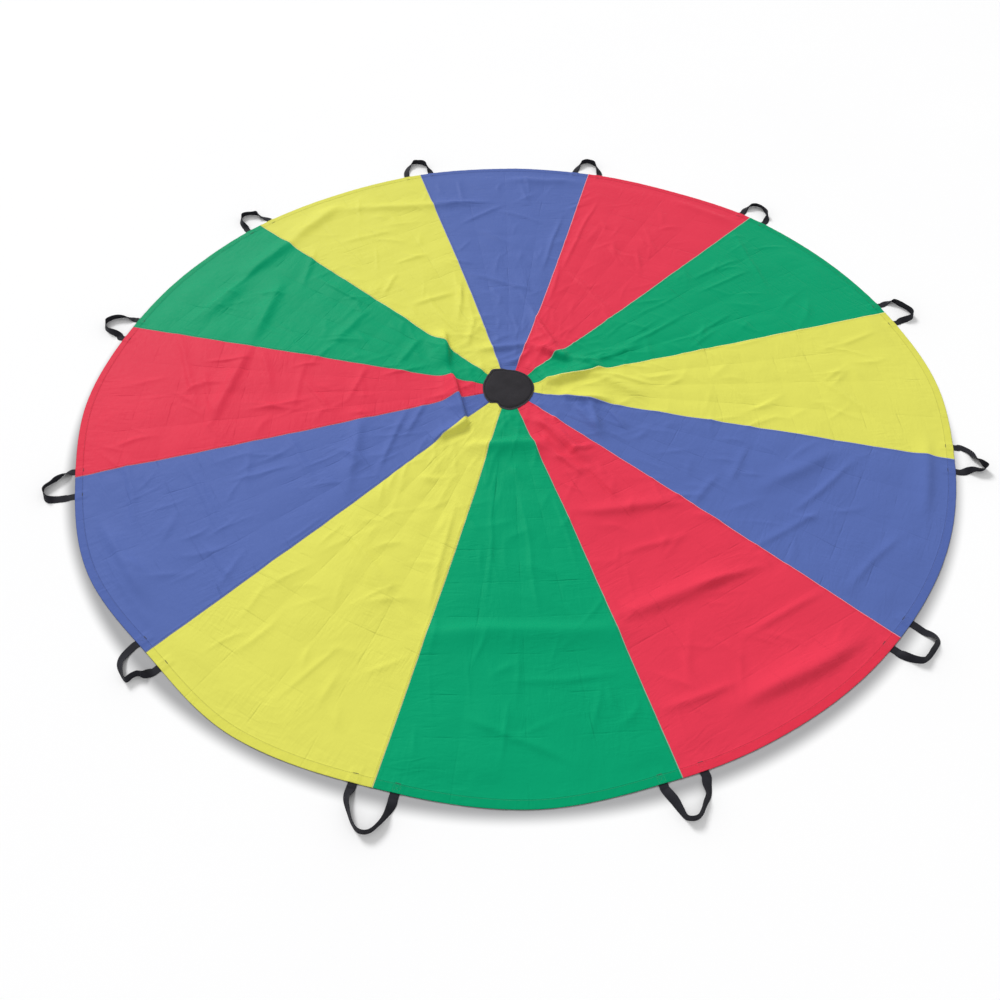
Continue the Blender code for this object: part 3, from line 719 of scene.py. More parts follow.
def floor_finish():
    """Plain pale studio floor, with a soft shadow painted on it in front of the canopy's edge, towards the
    front.
    """
    finish = Finish(bpy.data.materials.new("studio_floor"))
    place = finish.object_place()
    mottle = finish.noise(place, 0.8)
    away = finish.vector("LENGTH", finish.vector("SUBTRACT", place, SHADOW_MIDDLE), output=1)
    inner, outer = SHADOW_FADE
    # painted shadow: the floor's colour darkens in a soft ring just outside the hem, deepest on the near side
    shadow = 1 - away.between(CANOPY_RADIUS + inner, CANOPY_RADIUS + outer)
    depth = shadow * shadow * (3 - 2 * shadow) * stage_settings().shadow_depth
    base = finish.mix(mottle, (0.975, 0.975, 0.98, 1), (0.995, 0.995, 0.995, 1))
    finish.set(
        base_color=finish.mix(depth, base, (0.10, 0.10, 0.11, 1)),
        roughness=0.8 + mottle * 0.1,
        specular_ior_level=0.1,
    )
    return finish.owner


def eased(value, low, high):
    """0 up to low, 1 from high, and an eased rise between them."""
    share = np.clip((value - low) / (high - low), 0, 1)
    return share * share * (3 - 2 * share)


def round_table(table, turn):
    """The value of a table that goes once round, eased between its entries; turn is in whole turns."""
    count, table = len(table), np.array(table)
    place = turn * count % count
    before = place.astype(int)
    start, end = table[before % count], table[(before + 1) % count]
    return start + (end - start) * eased(place, before, before + 1)


def laid(x, y):
    """Where points of the flat pattern lie on the floor."""
    square = x * x + y * y
    hem_out_share = round_table(HEM_OUT_SHARES, (SEAM_ANGLES[0] - np.arctan2(y, x)) / (2 * math.pi))
    spread = 1 + hem_out_share * square / CANOPY_RADIUS**2
    return x * spread - CENTRE_DRIFT * np.exp(-square / DRIFT_REACH**2), y * spread


def noise_at(use, x, y):
    """Smooth noise over the floor, from about -1 to 1, for one of its uses."""
    size, seed = NOISES[use]
    return np.array([noise.noise((a / size, b / size, seed)) for a, b in zip(x, y)])


def across_ridge(x, y, middle, heading, half_length, half_width):
    """Places measured from a ridge's middle, along it and across it, in shares of its half sizes."""
    cos, sin = math.cos(heading), math.sin(heading)
    away_x, away_y = x - middle[0], y - middle[1]
    lengthwise = (away_x * cos + away_y * sin) / half_length
    crosswise = (away_x * sin - away_y * cos) / half_width
    return lengthwise, crosswise


def fold_lift(x, y):
    """How high the folds lift the cloth at places on the floor, and how far their crests lean over."""
    lift, lean_x, lean_y = np.zeros((3, len(x)))
    fine = tuple((*fold, FINE_STEEPNESS) for fold in FINE_FOLDS)
    for x_share, y_share, heading, length_share, width_share, height_share, steepness in FOLDS + fine:
        middle = (x_share * CANOPY_RADIUS, y_share * CANOPY_RADIUS)
        heading = math.radians(heading)
        half_sizes = (length_share * CANOPY_RADIUS, width_share * CANOPY_RADIUS)
        lengthwise, crosswise = across_ridge(x, y, middle, heading, *half_sizes)
        crosswise = crosswise / (1 - steepness * np.tanh(crosswise))
        pointed, rounded = np.exp(1 - np.sqrt(1 + 3 * crosswise**2)), np.exp(-(crosswise**2))
        section = pointed * POINTED_SHARE + rounded * (1 - POINTED_SHARE)
        fold = height_share * CANOPY_RADIUS * np.exp(-(lengthwise**4)) * section
        lift += fold
        lean_x += fold * math.sin(heading) * steepness * LEAN_SHARE
        lean_y -= fold * math.cos(heading) * steepness * LEAN_SHARE
    return lift, lean_x, lean_y


def small_wrinkles():
    """Short wrinkles strewn over the cloth, closer near the patch: middle, heading, sizes and bend."""
    chance = random.Random(WRINKLE_SEED)
    wrinkles = []
    for _ in range(WRINKLE_COUNT):
        angle = chance.uniform(0, 2 * math.pi)
        reach = CANOPY_RADIUS * chance.uniform(*WRINKLE_REACHES) ** WRINKLE_CROWDING
        middle = (reach * math.cos(angle), reach * math.sin(angle))
        heading = angle + chance.gauss(0, WRINKLE_TURN)
        half_length = WRINKLE_LENGTH * chance.uniform(0.35, 1.00)
        half_width = chance.uniform(*WRINKLE_WIDTHS)
        top = half_width * WRINKLE_HEIGHT_SHARE * chance.uniform(0.5, 1.2)
        wrinkles.append((middle, heading, half_length, half_width, top, chance.uniform(-0.9, 0.9)))
    return wrinkles


def wrinkle_lift(x, y):
    """How high the small wrinkles lift the cloth."""
    lift = np.zeros(len(x))
    for middle, heading, half_length, half_width, top, bend in small_wrinkles():
        near = np.flatnonzero(np.hypot(x - middle[0], y - middle[1]) < 2.2 * half_length)
        if len(near):
            lengthwise, crosswise = across_ridge(x[near], y[near], middle, heading, half_length, half_width)
            crosswise = crosswise + bend * lengthwise**2
            lift[near] += top * np.exp(-1.4 * lengthwise**2 + 1 - np.sqrt(1 + 3 * crosswise**2))
    return lift


def loose_lift(x, y):
    """The low puffs and faint crumples of cloth that lies loosely."""
    puff = np.maximum(noise_at("puff", x, y) + 0.10, 0)
    crumple = np.abs(noise_at("crumple", x * 0.8 + y * 0.5, y * 0.8 - x * 0.5))
    strength = 0.3 + 0.7 * eased(noise_at("crumple_places", x, y), -0.25, 0.25)
    return PUFF_HEIGHT * puff**1.5 + CRUMPLE_HEIGHT * crumple * strength


def panel_lift(x, y):
    """Cloth between two packing creases stands up a little."""
    radius = np.hypot(x, y)
    share = ((SEAM_ANGLES[0] - np.arctan2(y, x)) / GORE_ANGLE) % 1
    lengthwise = np.abs(np.sin(math.pi * CREASES_PER_GORE * share)) * eased(radius, 0.2, 0.6)
    down_gore = radius * np.cos(GORE_ANGLE * (share - 0.5))
    crosswise = np.abs(np.sin(math.pi * down_gore / CREASE_SPACING))
    kept = 0.30 + 0.70 * eased(noise_at("panel_places", x, y), -0.3, 0.3)
    return (PANEL_HEIGHTS[0] * lengthwise + PANEL_HEIGHTS[1] * crosswise) * kept


def end_lift(x, y):
    """The cloth rides over the straps' sewn ends."""
    lift = np.zeros_like(x)
    near_rim = np.hypot(x, y) > CANOPY_RADIUS - 0.08
    half = sizes().webbing_width / 2
    for angle, offset in zip(SEAM_ANGLES, SEAM_OFFSET_SHARES):
        out = x[near_rim] * math.cos(angle) + y[near_rim] * math.sin(angle)
        along = -x[near_rim] * math.sin(angle) + y[near_rim] * math.cos(angle)
        for side in (0.5, -0.5):
            away = np.abs(along - (offset + side) * sizes().handle_spread)
            beside = eased(away, *(half + margin for margin in END_SIDES))
            over = (1 - beside) * eased(out, *END_REACHES)
            lift[near_rim] = np.maximum(lift[near_rim], END_HEIGHT * over)
    return lift


def lay_down(x, y, above):
    """Lay points of the flat pattern on the floor, each so far above the cloth's underside."""
    radius = np.hypot(x, y)
    floor_x, floor_y = laid(x, y)
    stray_x, stray_y = (
        LONG_STRAY * noise_at(f"long_stray_{axis}", x, y)
        + SHORT_STRAY * noise_at(f"short_stray_{axis}", x, y)
        for axis in "xy"
    )
    past_patch = eased(radius, PATCH_EDGE, PATCH_EDGE + PATCH_FADE)
    ends_start = CANOPY_RADIUS - END_SEWN - HEM_MARGIN
    loose = past_patch * (1 - eased(radius, ends_start - HEM_FADE, ends_start))
    lift, lean_x, lean_y = fold_lift(floor_x + stray_x, floor_y + stray_y)
    small = loose_lift(x, y) + panel_lift(x, y) + wrinkle_lift(x + stray_x, y + stray_y)
    pucker = HEM_PUCKER_HEIGHT * (1 + noise_at("hem_pucker", x, y)) * eased(radius, *HEM_PUCKER_REACHES)
    small_share = SMALL_SHARE_AT_HEM + (1 - SMALL_SHARE_AT_HEM) * loose
    height = lift * loose + small * small_share * past_patch + pucker
    height = height + UNDER_PATCH_HEIGHT * (1 - past_patch) + end_lift(x, y)
    return np.stack([floor_x + lean_x * loose, floor_y + lean_y * loose, height + above], -1)


def mesh_from(name, bm):
    """A mesh made of a finished bmesh."""
    mesh = bpy.data.meshes.new(name)
    bm.to_mesh(mesh)
    bm.free()
    return mesh


def mesh_object(mesh, material, body):
    """A finished mesh as a piece that rides on a body."""
    piece = bpy.data.objects.new(mesh.name, mesh)
    bpy.context.scene.collection.objects.link(piece)
    mesh.materials.append(material)
    mesh.shade_smooth()
    if body:
        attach(piece, body)
    return piece


def add_wall(piece, thickness, offset):
    """Give a piece made as a single sheet its thickness."""
    wall = piece.modifiers.new("wall", "SOLIDIFY")
    wall.thickness = thickness
    wall.offset = offset


def round_edges(piece, width, degrees):
    """Round the edges at which a piece's faces turn by more than an angle."""
    rounding = piece.modifiers.new("rounding", "BEVEL")
    rounding.width = width
    rounding.segments = 2
    rounding.limit_method = "ANGLE"
    rounding.angle_limit = math.radians(degrees)


def vertex_places(mesh):
    places = np.zeros(len(mesh.vertices) * 3)
    mesh.vertices.foreach_get("co", places)
    return places.reshape(-1, 3)


def set_places(mesh, places):
    mesh.vertices.foreach_set("co", np.asarray(places, np.float32).ravel())
    mesh.update()


def add_uv(mesh, name, across, along):
    """Give each vertex its two values in a named UV map."""
    layer = mesh.uv_layers.new(name=name)
    corners = np.zeros(len(mesh.loops), np.int32)
    mesh.loops.foreach_get("vertex_index", corners)
    layer.data.foreach_set("uv", np.stack([across, along], -1)[corners].astype(np.float32).ravel())


def extruded(bm, edges):
    """Extrude open edges; gives the new vertices and the new edges."""
    raised = bmesh.ops.extrude_edge_only(bm, edges=edges)["geom"]
    verts = [item for item in raised if isinstance(item, bmesh.types.BMVert)]
    return verts, [item for item in raised if isinstance(item, bmesh.types.BMEdge)]


def face_all(bm, up):
    """Turn a flat sheet's faces all up or all down."""
    bmesh.ops.recalc_face_normals(bm, faces=bm.faces[:])
    if (sum(face.normal.z for face in bm.faces) > 0) != up:
        bmesh.ops.reverse_faces(bm, faces=bm.faces[:])


def gore_template():
    """One gore as counted rows and columns: x is the row from the middle, y the column from its left seam."""
    bm = bmesh.new()
    columns = GORE_ROWS + SEAM_COLUMNS
    bmesh.ops.create_grid(bm, x_segments=GORE_ROWS, y_segments=columns, size=0.5)
    bmesh.ops.translate(bm, verts=bm.verts[:], vec=(0.5, 0.5, 0))
    bmesh.ops.scale(bm, verts=bm.verts[:], vec=(GORE_ROWS, columns, 1))
    for point, out in (((0, SEAM_COLUMNS, 0), (-1, 1, 0)), ((TIP_ROW, 0, 0), (-1, 0, 0))):
        everything = bm.verts[:] + bm.edges[:] + bm.faces[:]
        bmesh.ops.bisect_plane(
            bm, geom=everything, dist=0.01, plane_co=point, plane_no=out, clear_outer=True
        )
    rim = [edge for edge in bm.edges if all(vert.co.x > GORE_ROWS - 0.1 for vert in edge.verts)]
    for _ in HEM_ROWS:
        verts, rim = extruded(bm, rim)
        bmesh.ops.translate(bm, verts=verts, vec=(1, 0, 0))
    face_all(bm, up=False)

    # Both edges are cut into the same triangles, so that a seam's two layers never cross
    left, rest = [], []
    for face in bm.faces:
        middle = face.calc_center_median()
        side = left if middle.y < SEAM_COLUMNS + 1 or middle.x > GORE_ROWS else rest
        side.append(face)
    bmesh.ops.triangulate(bm, faces=left, quad_method="ALTERNATE")
    bmesh.ops.triangulate(bm, faces=rest, quad_method="FIXED")
    return mesh_from("gore", bm)


def hem_profile():
    """For each row, its radius, its distance along the cloth and the layers below it."""
    start = CANOPY_RADIUS - sizes().hem_width * HEM_START_SHARE
    rows = list(np.arange(GORE_ROWS + 1) * start / GORE_ROWS)
    radii, lengths, layers = list(rows), list(rows), [0.0] * len(rows)
    span = CANOPY_RADIUS - start
    for share, layer in HEM_ROWS:
        radii.append(start + share * span)
        step = abs(radii[-1] - radii[-2]) + abs(layer - layers[-1]) * LAYER_HEIGHT
        lengths.append(lengths[-1] + step)
        layers.append(layer)
    return np.array(radii), np.array(lengths), np.array(layers)


def lap_lift(inset):
    """How high a felled seam's upper layer rides, at a distance in from its edge."""
    return LAYER_HEIGHT * np.interp(inset / SEAM_COLUMN_WIDTH, range(len(LAP_SHARES)), LAP_SHARES)


def seam_lift(column, beyond, past_patch):
    """The height of a felled seam: the left edge laps over its neighbour, and the right edge lies under."""
    tucked = np.interp(beyond, (-1, 0, 1), TUCK_SHARES)
    return lap_lift(column * SEAM_COLUMN_WIDTH) * past_patch + LAYER_HEIGHT * np.where(beyond > -1, tucked, 0)


def make_gore(index, template, material):
    """Lay one gore: the flat pattern, its lapped seams and its turned hem."""
    mesh = template.copy()
    mesh.name = f"{GORES[index]}_cloth"
    row, column, _ = vertex_places(mesh).round().T
    radii, lengths, layers = hem_profile()
    row = row.astype(int)
    share = column / np.minimum(row, GORE_ROWS)
    angle = SEAM_ANGLES[index] - GORE_ANGLE * share
    radius = radii[row]
    x, y = radius * np.cos(angle), radius * np.sin(angle)
    beyond = column - np.minimum(row, GORE_ROWS)
    above = CLOTH_WALL + CLOTH_GAP + seam_lift(column, beyond, eased(radius, *LAP_REACHES))
    above = above + layers[row] * HEM_LAYER_HEIGHT
    set_places(mesh, lay_down(x, y, above))
    length = lengths[row]
    middle = GORE_ANGLE * (share - 0.5)
    add_uv(mesh, "pattern", length * np.sin(middle), length * np.cos(middle))
    add_uv(mesh, "gore", share, length)
    piece = mesh_object(mesh, material, "canopy")
    add_wall(piece, CLOTH_WALL, -1)
    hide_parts(GORES[index])


def patch_mesh(name):
    """A unit disc of rings round a small middle face."""
    bm = bmesh.new()
    bmesh.ops.create_circle(bm, segments=PATCH_SPOKES, radius=1, cap_ends=False)
    rim = bm.edges[:]
    for ring in range(PATCH_RINGS, 1, -1):
        verts, rim = extruded(bm, rim)
        shrink = (ring - 1) / ring
        bmesh.ops.scale(bm, verts=verts, vec=(shrink, shrink, 1))
    bmesh.ops.contextual_create(bm, geom=rim)
    face_all(bm, up=True)
    return mesh_from(name, bm)


def patch_reach(angle, domed):
    """How far the patch reaches in each direction."""
    outline = round_table(PATCH_OUTLINE_SHARES, angle / (2 * math.pi))
    return sizes().patch_radius * (1 + (outline - 1) * domed)


def round_patch(name, material, node, domed):
    """A round cloth patch, puffed up inside its ring of stitches."""
    mesh = patch_mesh(name)
    unit = vertex_places(mesh)
    reach = np.hypot(unit[:, 0], unit[:, 1])
    angle = np.arctan2(unit[:, 1], unit[:, 0])
    edge = patch_reach(angle, domed * reach**2)
    x, y = unit[:, 0] * edge, unit[:, 1] * edge
    if domed:
        groove = np.exp(-(((reach - PATCH_STITCH_SHARE) / PATCH_GROOVE_SHARE) ** 2))
        wave = 0.5 + 0.5 * noise_at("patch_wave", x, y)
        ruck = 0.5 + 0.5 * noise_at("patch_ruck", x * 2, y * 2)
        puff = PATCH_PUFF + PATCH_WAVE * wave * (1 - reach**4)
        curl = PATCH_CURL * ruck * eased(reach, PATCH_STITCH_SHARE, 1)
        above = CLOTH_WALL + PATCH_WALL + 0.0002 + puff * (1 - groove) * (1 - eased(reach, 0.96, 1)) + curl
        set_places(mesh, lay_down(x, y, above))
    else:
        set_places(mesh, np.stack([x - CENTRE_DRIFT, y, PATCH_WALL + 0 * x], -1))
    add_uv(mesh, "pattern", x, y)
    add_uv(mesh, "patch", reach, angle)
    piece = mesh_object(mesh, material, "canopy")
    add_wall(piece, PATCH_WALL, -1)
    round_edges(piece, PATCH_WALL * 0.3, 60)
    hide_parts(node)


def smooth_path(points):
    """An even curve through the points, with its two ends run straight on."""
    ends = [2 * points[0] - points[1]] + points + [2 * points[-1] - points[-2]]
    curve = []
    for before, start, end, after in zip(ends, ends[1:], ends[2:], ends[3:]):
        for step in range(CURVE_STEPS):
            t = step / CURVE_STEPS
            linear = (end - before) * t
            square = (2 * before - 5 * start + 4 * end - after) * t**2
            cube = (3 * start - before - 3 * end + after) * t**3
            curve.append((2 * start + linear + square + cube) / 2)
    return np.array(curve + [points[-1]])


def strap_path(index):
    """A strap's centreline, end to end: along the hem, out from it, and how far it has turned."""
    spread, reach = sizes().handle_spread, sizes().handle_reach
    offset = SEAM_OFFSET_SHARES[index] * spread
    passed = [
        np.array((offset + along * spread, out * reach, math.radians(turn)))
        for along, out, turn in LOOP_SHARES[index]
    ]
    ends = []
    for side in (offset + spread / 2, offset - spread / 2):
        outs = (-END_SEWN, -END_SEWN / 2, 0, FOLD_OUT, FOLD_OUT + ROOT_RUN)
        ends.append([np.array((side, out, 0.0)) for out in outs])
    path = smooth_path(ends[0] + passed + ends[1][::-1])
    steps = np.hypot(*np.diff(path[:, :2], axis=0).T)
    travelled = np.append(0, np.cumsum(steps))
    even = np.linspace(0, travelled[-1], STRAP_STATIONS)
    return np.stack([np.interp(even, travelled, path[:, axis]) for axis in range(3)], -1), even


def beside_hem(index, along, out, up):
    """A handle's own along, out and up, as places beside the hem."""
    cos, sin = math.cos(SEAM_ANGLES[index]), math.sin(SEAM_ANGLES[index])
    reach = FOLD_REACHES[index] - FOLD_OUT + out
    return np.stack([reach * cos - along * sin, reach * sin + along * cos, up], -1)


def make_strap(index, material):
    """One continuous strap of webbing: both sewn ends and the loop between them."""
    handle = f"handle_{index + 1:02d}"
    width, thickness = sizes().webbing_width, sizes().webbing_thickness
    bm = bmesh.new()
    bmesh.ops.create_grid(bm, x_segments=STRAP_STATIONS - 1, y_segments=STRAP_COLUMNS, size=0.5)
    bmesh.ops.translate(bm, verts=bm.verts[:], vec=(0.5, 0, 0))
    mesh = mesh_from(f"{handle}_strap", bm)
    grid = vertex_places(mesh)
    station = (grid[:, 0] * (STRAP_STATIONS - 1)).round().astype(int)
    path, lengths = strap_path(index)
    ahead = np.gradient(path[:, :2], axis=0)
    ahead = ahead / np.hypot(*ahead.T)[:, None]
    turn = path[:, 2]
    height = (np.abs(np.sin(turn)) * width + np.abs(np.cos(turn)) * thickness) / 2 + CLOTH_GAP
    across = grid[:, 1] * width
    inward = np.stack([-ahead[:, 1], ahead[:, 0]], -1)[station]
    flat_part = across * np.cos(turn[station])
    along = path[station, 0] + inward[:, 0] * flat_part
    out = path[station, 1] + inward[:, 1] * flat_part
    up = height[station] + across * np.sin(turn[station])
    set_places(mesh, beside_hem(index, along, out, up))
    add_uv(mesh, "strap", across, lengths[station])
    piece = mesh_object(mesh, material, None)
    add_wall(piece, thickness, 0)
    round_edges(piece, thickness * 0.35, 50)
    start, end = (beside_hem(index, 0, FOLD_OUT + run, BEND_HEIGHT) for run in (-BEND_RUN, BEND_RUN))
    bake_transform(piece)
    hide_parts(f"{handle}_loop", f"{handle}_left_end", f"{handle}_right_end")


def one_stitch(bm, length, width=STITCH_WIDTH):
    """A single stitch lying along x, its top drawn in at both ends."""
    made = bmesh.ops.create_cube(bm, size=1)["verts"]
    bmesh.ops.scale(bm, verts=made, vec=(length, width, STITCH_HEIGHT))
    for vert in made:
        if vert.co.z > 0:
            vert.co.xy *= 0.7
    return bm.verts[:] + bm.edges[:] + bm.faces[:]


def stitch_row(bm, start, step, count, place, length):
    """A straight row of stitches, each lying along x, then turned and moved to its place."""
    row = bmesh.new()
    geom = one_stitch(row, length)
    repeat = {"dvec": step, "angle": 0, "steps": count - 1, "use_duplicate": True}
    bmesh.ops.spin(row, geom=geom, cent=(0, 0, 0), axis=(0, 0, 1), **repeat)
    bmesh.ops.translate(row, verts=row.verts[:], vec=start)
    bmesh.ops.transform(row, verts=row.verts[:], matrix=place)
    mesh = mesh_from("row", row)
    bm.from_mesh(mesh)
    bpy.data.meshes.remove(mesh)


def stitch_arc(radius, count, sweep, width=STITCH_WIDTH):
    """A new bmesh with a row of stitches round the canopy's middle, from the x axis on."""
    bm = bmesh.new()
    geom = one_stitch(bm, sizes().stitch_length * STITCH_SHARE, width)
    bmesh.ops.rotate(bm, verts=bm.verts[:], matrix=Matrix.Rotation(math.pi / 2, 3, "Z"))
    bmesh.ops.translate(bm, verts=bm.verts[:], vec=(radius, 0, 0))
    repeat = {"angle": sweep * (count - 1) / count, "steps": count - 1, "use_duplicate": True}
    bmesh.ops.spin(bm, geom=geom, cent=(0, 0, 0), axis=(0, 0, 1), **repeat)
    return bm


def lay_thread(name, bm, material, above):
    """Lay stitches made in the flat pattern's plane on to the cloth."""
    bmesh.ops.recalc_face_normals(bm, faces=bm.faces[:])
    mesh = mesh_from(name, bm)
    x, y, z = vertex_places(mesh).T
    set_places(mesh, lay_down(x, y, CLOTH_WALL + above + z))
    piece = mesh_object(mesh, material, "canopy")


def make_patch_thread(material):
    """The ring of stitches that holds the round patch."""
    radius = sizes().patch_radius * PATCH_STITCH_SHARE
    count = int(2 * math.pi * radius / sizes().stitch_length)
    bm = stitch_arc(radius, count, 2 * math.pi, PATCH_STITCH_WIDTH)
    for vert in bm.verts:
        angle = np.array([math.atan2(vert.co.y, vert.co.x)])
        vert.co.xy *= patch_reach(angle, PATCH_STITCH_SHARE**2)[0] / sizes().patch_radius
    lay_thread("patch_stitches", bm, material, PATCH_WALL + 0.0004)


def end_place(index, side, inset):
    """A frame on a strap's sewn end, so far in from the hem's edge: x points out, y along the hem."""
    along = (SEAM_OFFSET_SHARES[index] + side / 2) * sizes().handle_spread
    turned = Matrix.Rotation(SEAM_ANGLES[index], 4, "Z")
    return turned @ Matrix.Translation((CANOPY_RADIUS - inset, along, 0))


def box_stitches(bm, index, side):
    """A square of stitches with a cross in it, over one sewn end of a strap."""
    step = (BOX_PITCH, 0, 0)
    length = BOX_PITCH * STITCH_SHARE
    middle = end_place(index, side, sizes().hem_width * BOX_INSET_SHARE)
    side_count, cross_count = int(BOX_SIDE / BOX_PITCH), int(BOX_SIDE * math.sqrt(2) / BOX_PITCH) - 1
    side_start = ((BOX_PITCH - BOX_SIDE) / 2, -BOX_SIDE / 2, 0)
    cross_start = ((1 - cross_count) / 2 * BOX_PITCH, 0, 0)
    for turns in range(4):
        turned = middle @ Matrix.Rotation(turns * math.pi / 2, 4, "Z")
        stitch_row(bm, side_start, step, side_count, turned, length)
    for turn in (math.pi / 4, -math.pi / 4):
        turned = middle @ Matrix.Rotation(turn, 4, "Z")
        stitch_row(bm, cross_start, step, cross_count, turned, length)


def make_bar_tacks(material):
    """The dense bars across the inner edge of each sewn end."""
    bm = bmesh.new()
    count = int(sizes().webbing_width * TACK_SHARE / TACK_PITCH)
    start = (0, -(count - 1) / 2 * TACK_PITCH, 0)
    for index in range(len(SEAM_ANGLES)):
        for side in (1, -1):
            place = end_place(index, side, sizes().hem_width * TACK_INSET_SHARE)
            stitch_row(bm, start, (0, TACK_PITCH, 0), count, place, TACK_LENGTH)
    lay_thread("bar_tacks", bm, material, HEM_LAYER_HEIGHT + 0.00030)


def make_seam_thread(index, material):
    """The two rows of stitches down a felled seam."""
    pitch = sizes().stitch_length
    count = int((CANOPY_RADIUS - sizes().hem_width - SEAM_STITCH_START) / pitch)
    place = Matrix.Rotation(SEAM_ANGLES[index], 4, "Z")
    for row, inset in enumerate(SEAM_STITCH_INSETS):
        bm = bmesh.new()
        start = (SEAM_STITCH_START, -inset, 0)
        stitch_row(bm, start, (pitch, 0, 0), count, place, pitch * STITCH_SHARE)
        name = f"seam_{index + 1:02d}_stitches_{row + 1}"
        lay_thread(name, bm, material, 0.00008 + lap_lift(inset))


def make_hem_thread(index, material):
    """The row of stitches that holds one gore's hem, and the boxes on the straps' ends that it reaches."""
    radius = CANOPY_RADIUS - sizes().hem_width * 0.90
    count = int(GORE_ANGLE * radius / sizes().stitch_length)
    bm = stitch_arc(radius, count, -GORE_ANGLE)
    turn = Matrix.Rotation(SEAM_ANGLES[index] - GORE_ANGLE / count / 2, 3, "Z")
    bmesh.ops.rotate(bm, verts=bm.verts[:], matrix=turn)
    box_stitches(bm, index, -1)
    box_stitches(bm, (index + 1) % len(SEAM_ANGLES), 1)
    lay_thread(f"hem_{index + 1:02d}_stitches", bm, material, HEM_LAYER_HEIGHT + 0.00015)


class PARACHUTE_OT_gores(bpy.types.Operator):
    """Lay the twelve gores"""

    bl_idname = "parachute.gores"
    bl_label = "Lay gores"

    def execute(self, context):
        materials = {
            name: cloth_finish(name, getattr(colours(), name), seed * 0.37)
            for seed, name in enumerate(CLOTH_COLOURS)
        }
        template = gore_template()
        for index, colour in enumerate(GORE_COLOURS):
            make_gore(index, template, materials[colour])
        bpy.data.meshes.remove(template)
        return {"FINISHED"}


class PARACHUTE_OT_patches(bpy.types.Operator):
    """Sew the two round patches over the gores' tips"""

    bl_idname = "parachute.patches"
    bl_label = "Sew patches"

    def execute(self, context):
        material = patch_finish(colours().patch)
        round_patch("patch_top_cloth", material, "patch_top", 1)
        round_patch("patch_under_cloth", material, "patch_under", 0)
        make_patch_thread(thread_finish("patch", colours().patch))
        return {"FINISHED"}


class PARACHUTE_OT_handles(bpy.types.Operator):
    """Sew on the twelve webbing handles"""

    bl_idname = "parachute.handles"
    bl_label = "Sew handles"

    def execute(self, context):
        material = webbing_finish(colours().webbing)
        for index in range(len(SEAM_ANGLES)):
            make_strap(index, material)
        return {"FINISHED"}


class PARACHUTE_OT_stitches(bpy.types.Operator):
    """Stitch the seams, the hem and the handles' ends"""

    bl_idname = "parachute.stitches"
    bl_label = "Stitch seams and hem"

    def execute(self, context):
        threads = {
            name: thread_finish(name, [0.02 + c * 0.95 for c in getattr(colours(), name)])
            for name in CLOTH_COLOURS
        }
        for index, colour in enumerate(GORE_COLOURS):
            make_seam_thread(index, threads[colour])
            make_hem_thread(index, threads[colour])
        make_bar_tacks(thread_finish("bar", [0.04 + c * 2 for c in colours().webbing]))
        return {"FINISHED"}


class PARACHUTE_OT_stage(bpy.types.Operator):
    """Set the floor, the light and the camera"""

    bl_idname = "parachute.stage"
    bl_label = "Set stage"

    def execute(self, context):
        make_floor()
        make_light()
        make_camera()
        return {"FINISHED"}


def make_floor():
    bm = bmesh.new()
    bmesh.ops.create_grid(bm, x_segments=2, y_segments=2, size=FLOOR_HALF)
    bmesh.ops.translate(bm, verts=bm.verts[:], vec=(0, 0, -FLOOR_DROP))
    mesh_object(mesh_from("studio_floor", bm), floor_finish(), None)


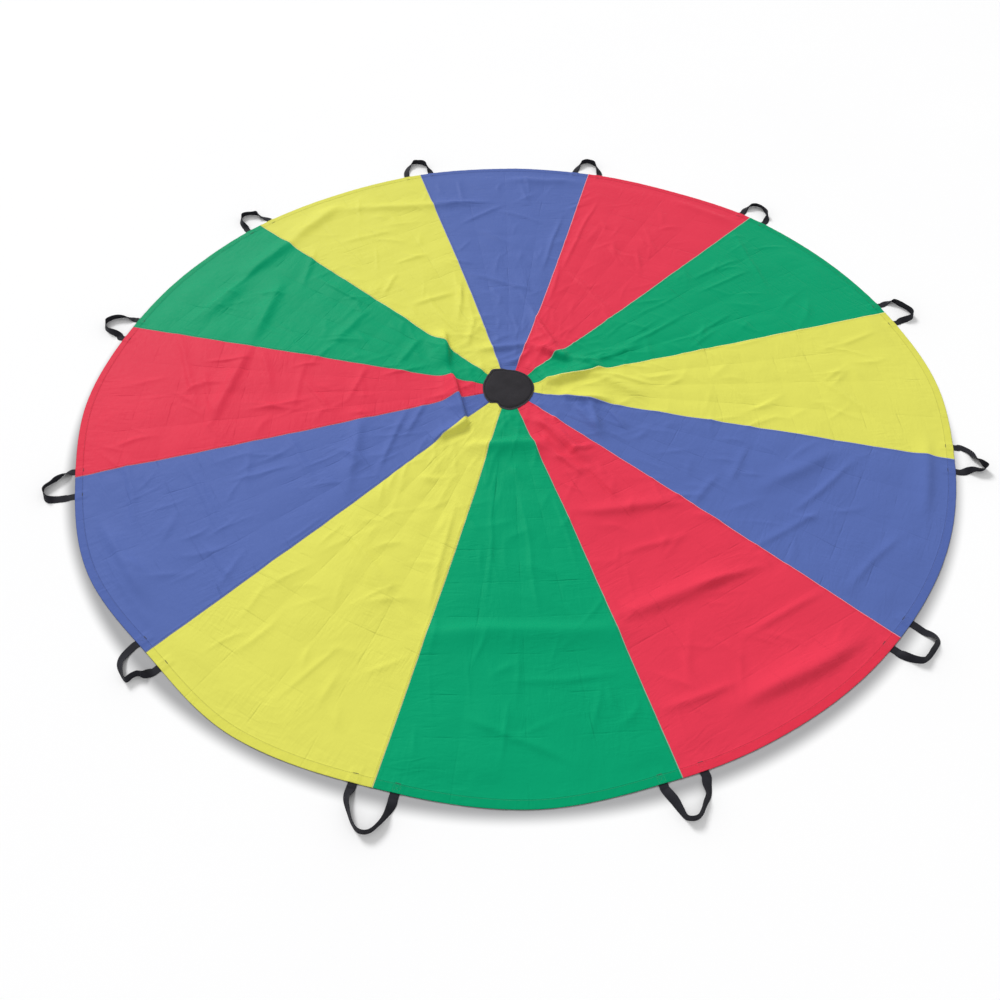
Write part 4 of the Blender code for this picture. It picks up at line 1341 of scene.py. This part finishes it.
def make_light():
    scene = bpy.context.scene
    scene.view_settings.view_transform = "Standard"
    scene.world = bpy.data.worlds.new("studio")
    sky = Finish(scene.world, "Background")
    facing = sky.add("ShaderNodeTexCoord", {}, {}, "Generated")
    fade = {
        "Value": sky.add("ShaderNodeSeparateXYZ", {}, {0: facing}, "Z"),
        "From Max": HORIZON_GLOW_HEIGHT,
        "To Min": HORIZON_STRENGTH,
        "To Max": stage_settings().sky_strength,
    }
    sky.set(color=(1, 1, 1, 1), strength=sky.add("ShaderNodeMapRange", {}, fade))
    lamp = bpy.data.lights.new("window", "SUN")
    lamp.angle = math.radians(WINDOW_SPREAD)
    lamp.energy = stage_settings().sun_strength
    light = bpy.data.objects.new("window", lamp)
    tilt = math.pi / 2 - stage_settings().sun_height
    turned = Matrix.Rotation(math.radians(WINDOW_HEADING), 4, "Z")
    light.matrix_world = turned @ Matrix.Rotation(-tilt, 4, "X")
    scene.collection.objects.link(light)


def make_camera():
    camera = bpy.data.cameras.new("camera")
    camera.sensor_width = 36
    camera.lens = CAMERA_LENS
    camera.clip_end = 100
    view = bpy.data.objects.new("camera", camera)
    pitch, roll = math.radians(90 - CAMERA_DOWN), math.radians(CAMERA_ROLL)
    turn = Matrix.Rotation(pitch, 4, "X") @ Matrix.Rotation(roll, 4, "Z")
    view.matrix_world = Matrix.Translation(CAMERA_PLACE) @ turn
    bpy.context.scene.collection.objects.link(view)
    bpy.context.scene.camera = view


class PARACHUTE_PT_panel(bpy.types.Panel):
    """Lists the parachute's pieces and settings"""

    bl_idname = "PARACHUTE_PT_panel"
    bl_label = "Parachute"
    bl_space_type = "VIEW_3D"
    bl_region_type = "UI"
    bl_category = "Parachute"

    def draw(self, context):
        layout = self.layout
        for group in (sizes(), colours(), stage_settings()):
            for name in type(group).__annotations__:
                layout.prop(group, name)
        for operator in OPERATORS:
            layout.operator(operator.bl_idname)


OPERATORS = (
    PARACHUTE_OT_stage,
    PARACHUTE_OT_gores,
    PARACHUTE_OT_patches,
    PARACHUTE_OT_handles,
    PARACHUTE_OT_stitches,
)
CLASSES = (ParachuteSizes, ParachuteColours, ParachuteStage, *OPERATORS, PARACHUTE_PT_panel)


def register():
    for made in CLASSES:
        bpy.utils.register_class(made)
    bpy.types.Scene.parachute_sizes = PointerProperty(type=ParachuteSizes)
    bpy.types.Scene.parachute_colours = PointerProperty(type=ParachuteColours)
    bpy.types.Scene.parachute_stage = PointerProperty(type=ParachuteStage)


def unregister():
    del bpy.types.Scene.parachute_stage
    del bpy.types.Scene.parachute_colours
    del bpy.types.Scene.parachute_sizes
    for made in reversed(CLASSES):
        bpy.utils.unregister_class(made)


def main():
    register()
    bpy.ops.parachute.stage()
    bpy.ops.parachute.gores()
    bpy.ops.parachute.patches()
    bpy.ops.parachute.handles()
    bpy.ops.parachute.stitches()


if __name__ == "__main__":
    main()
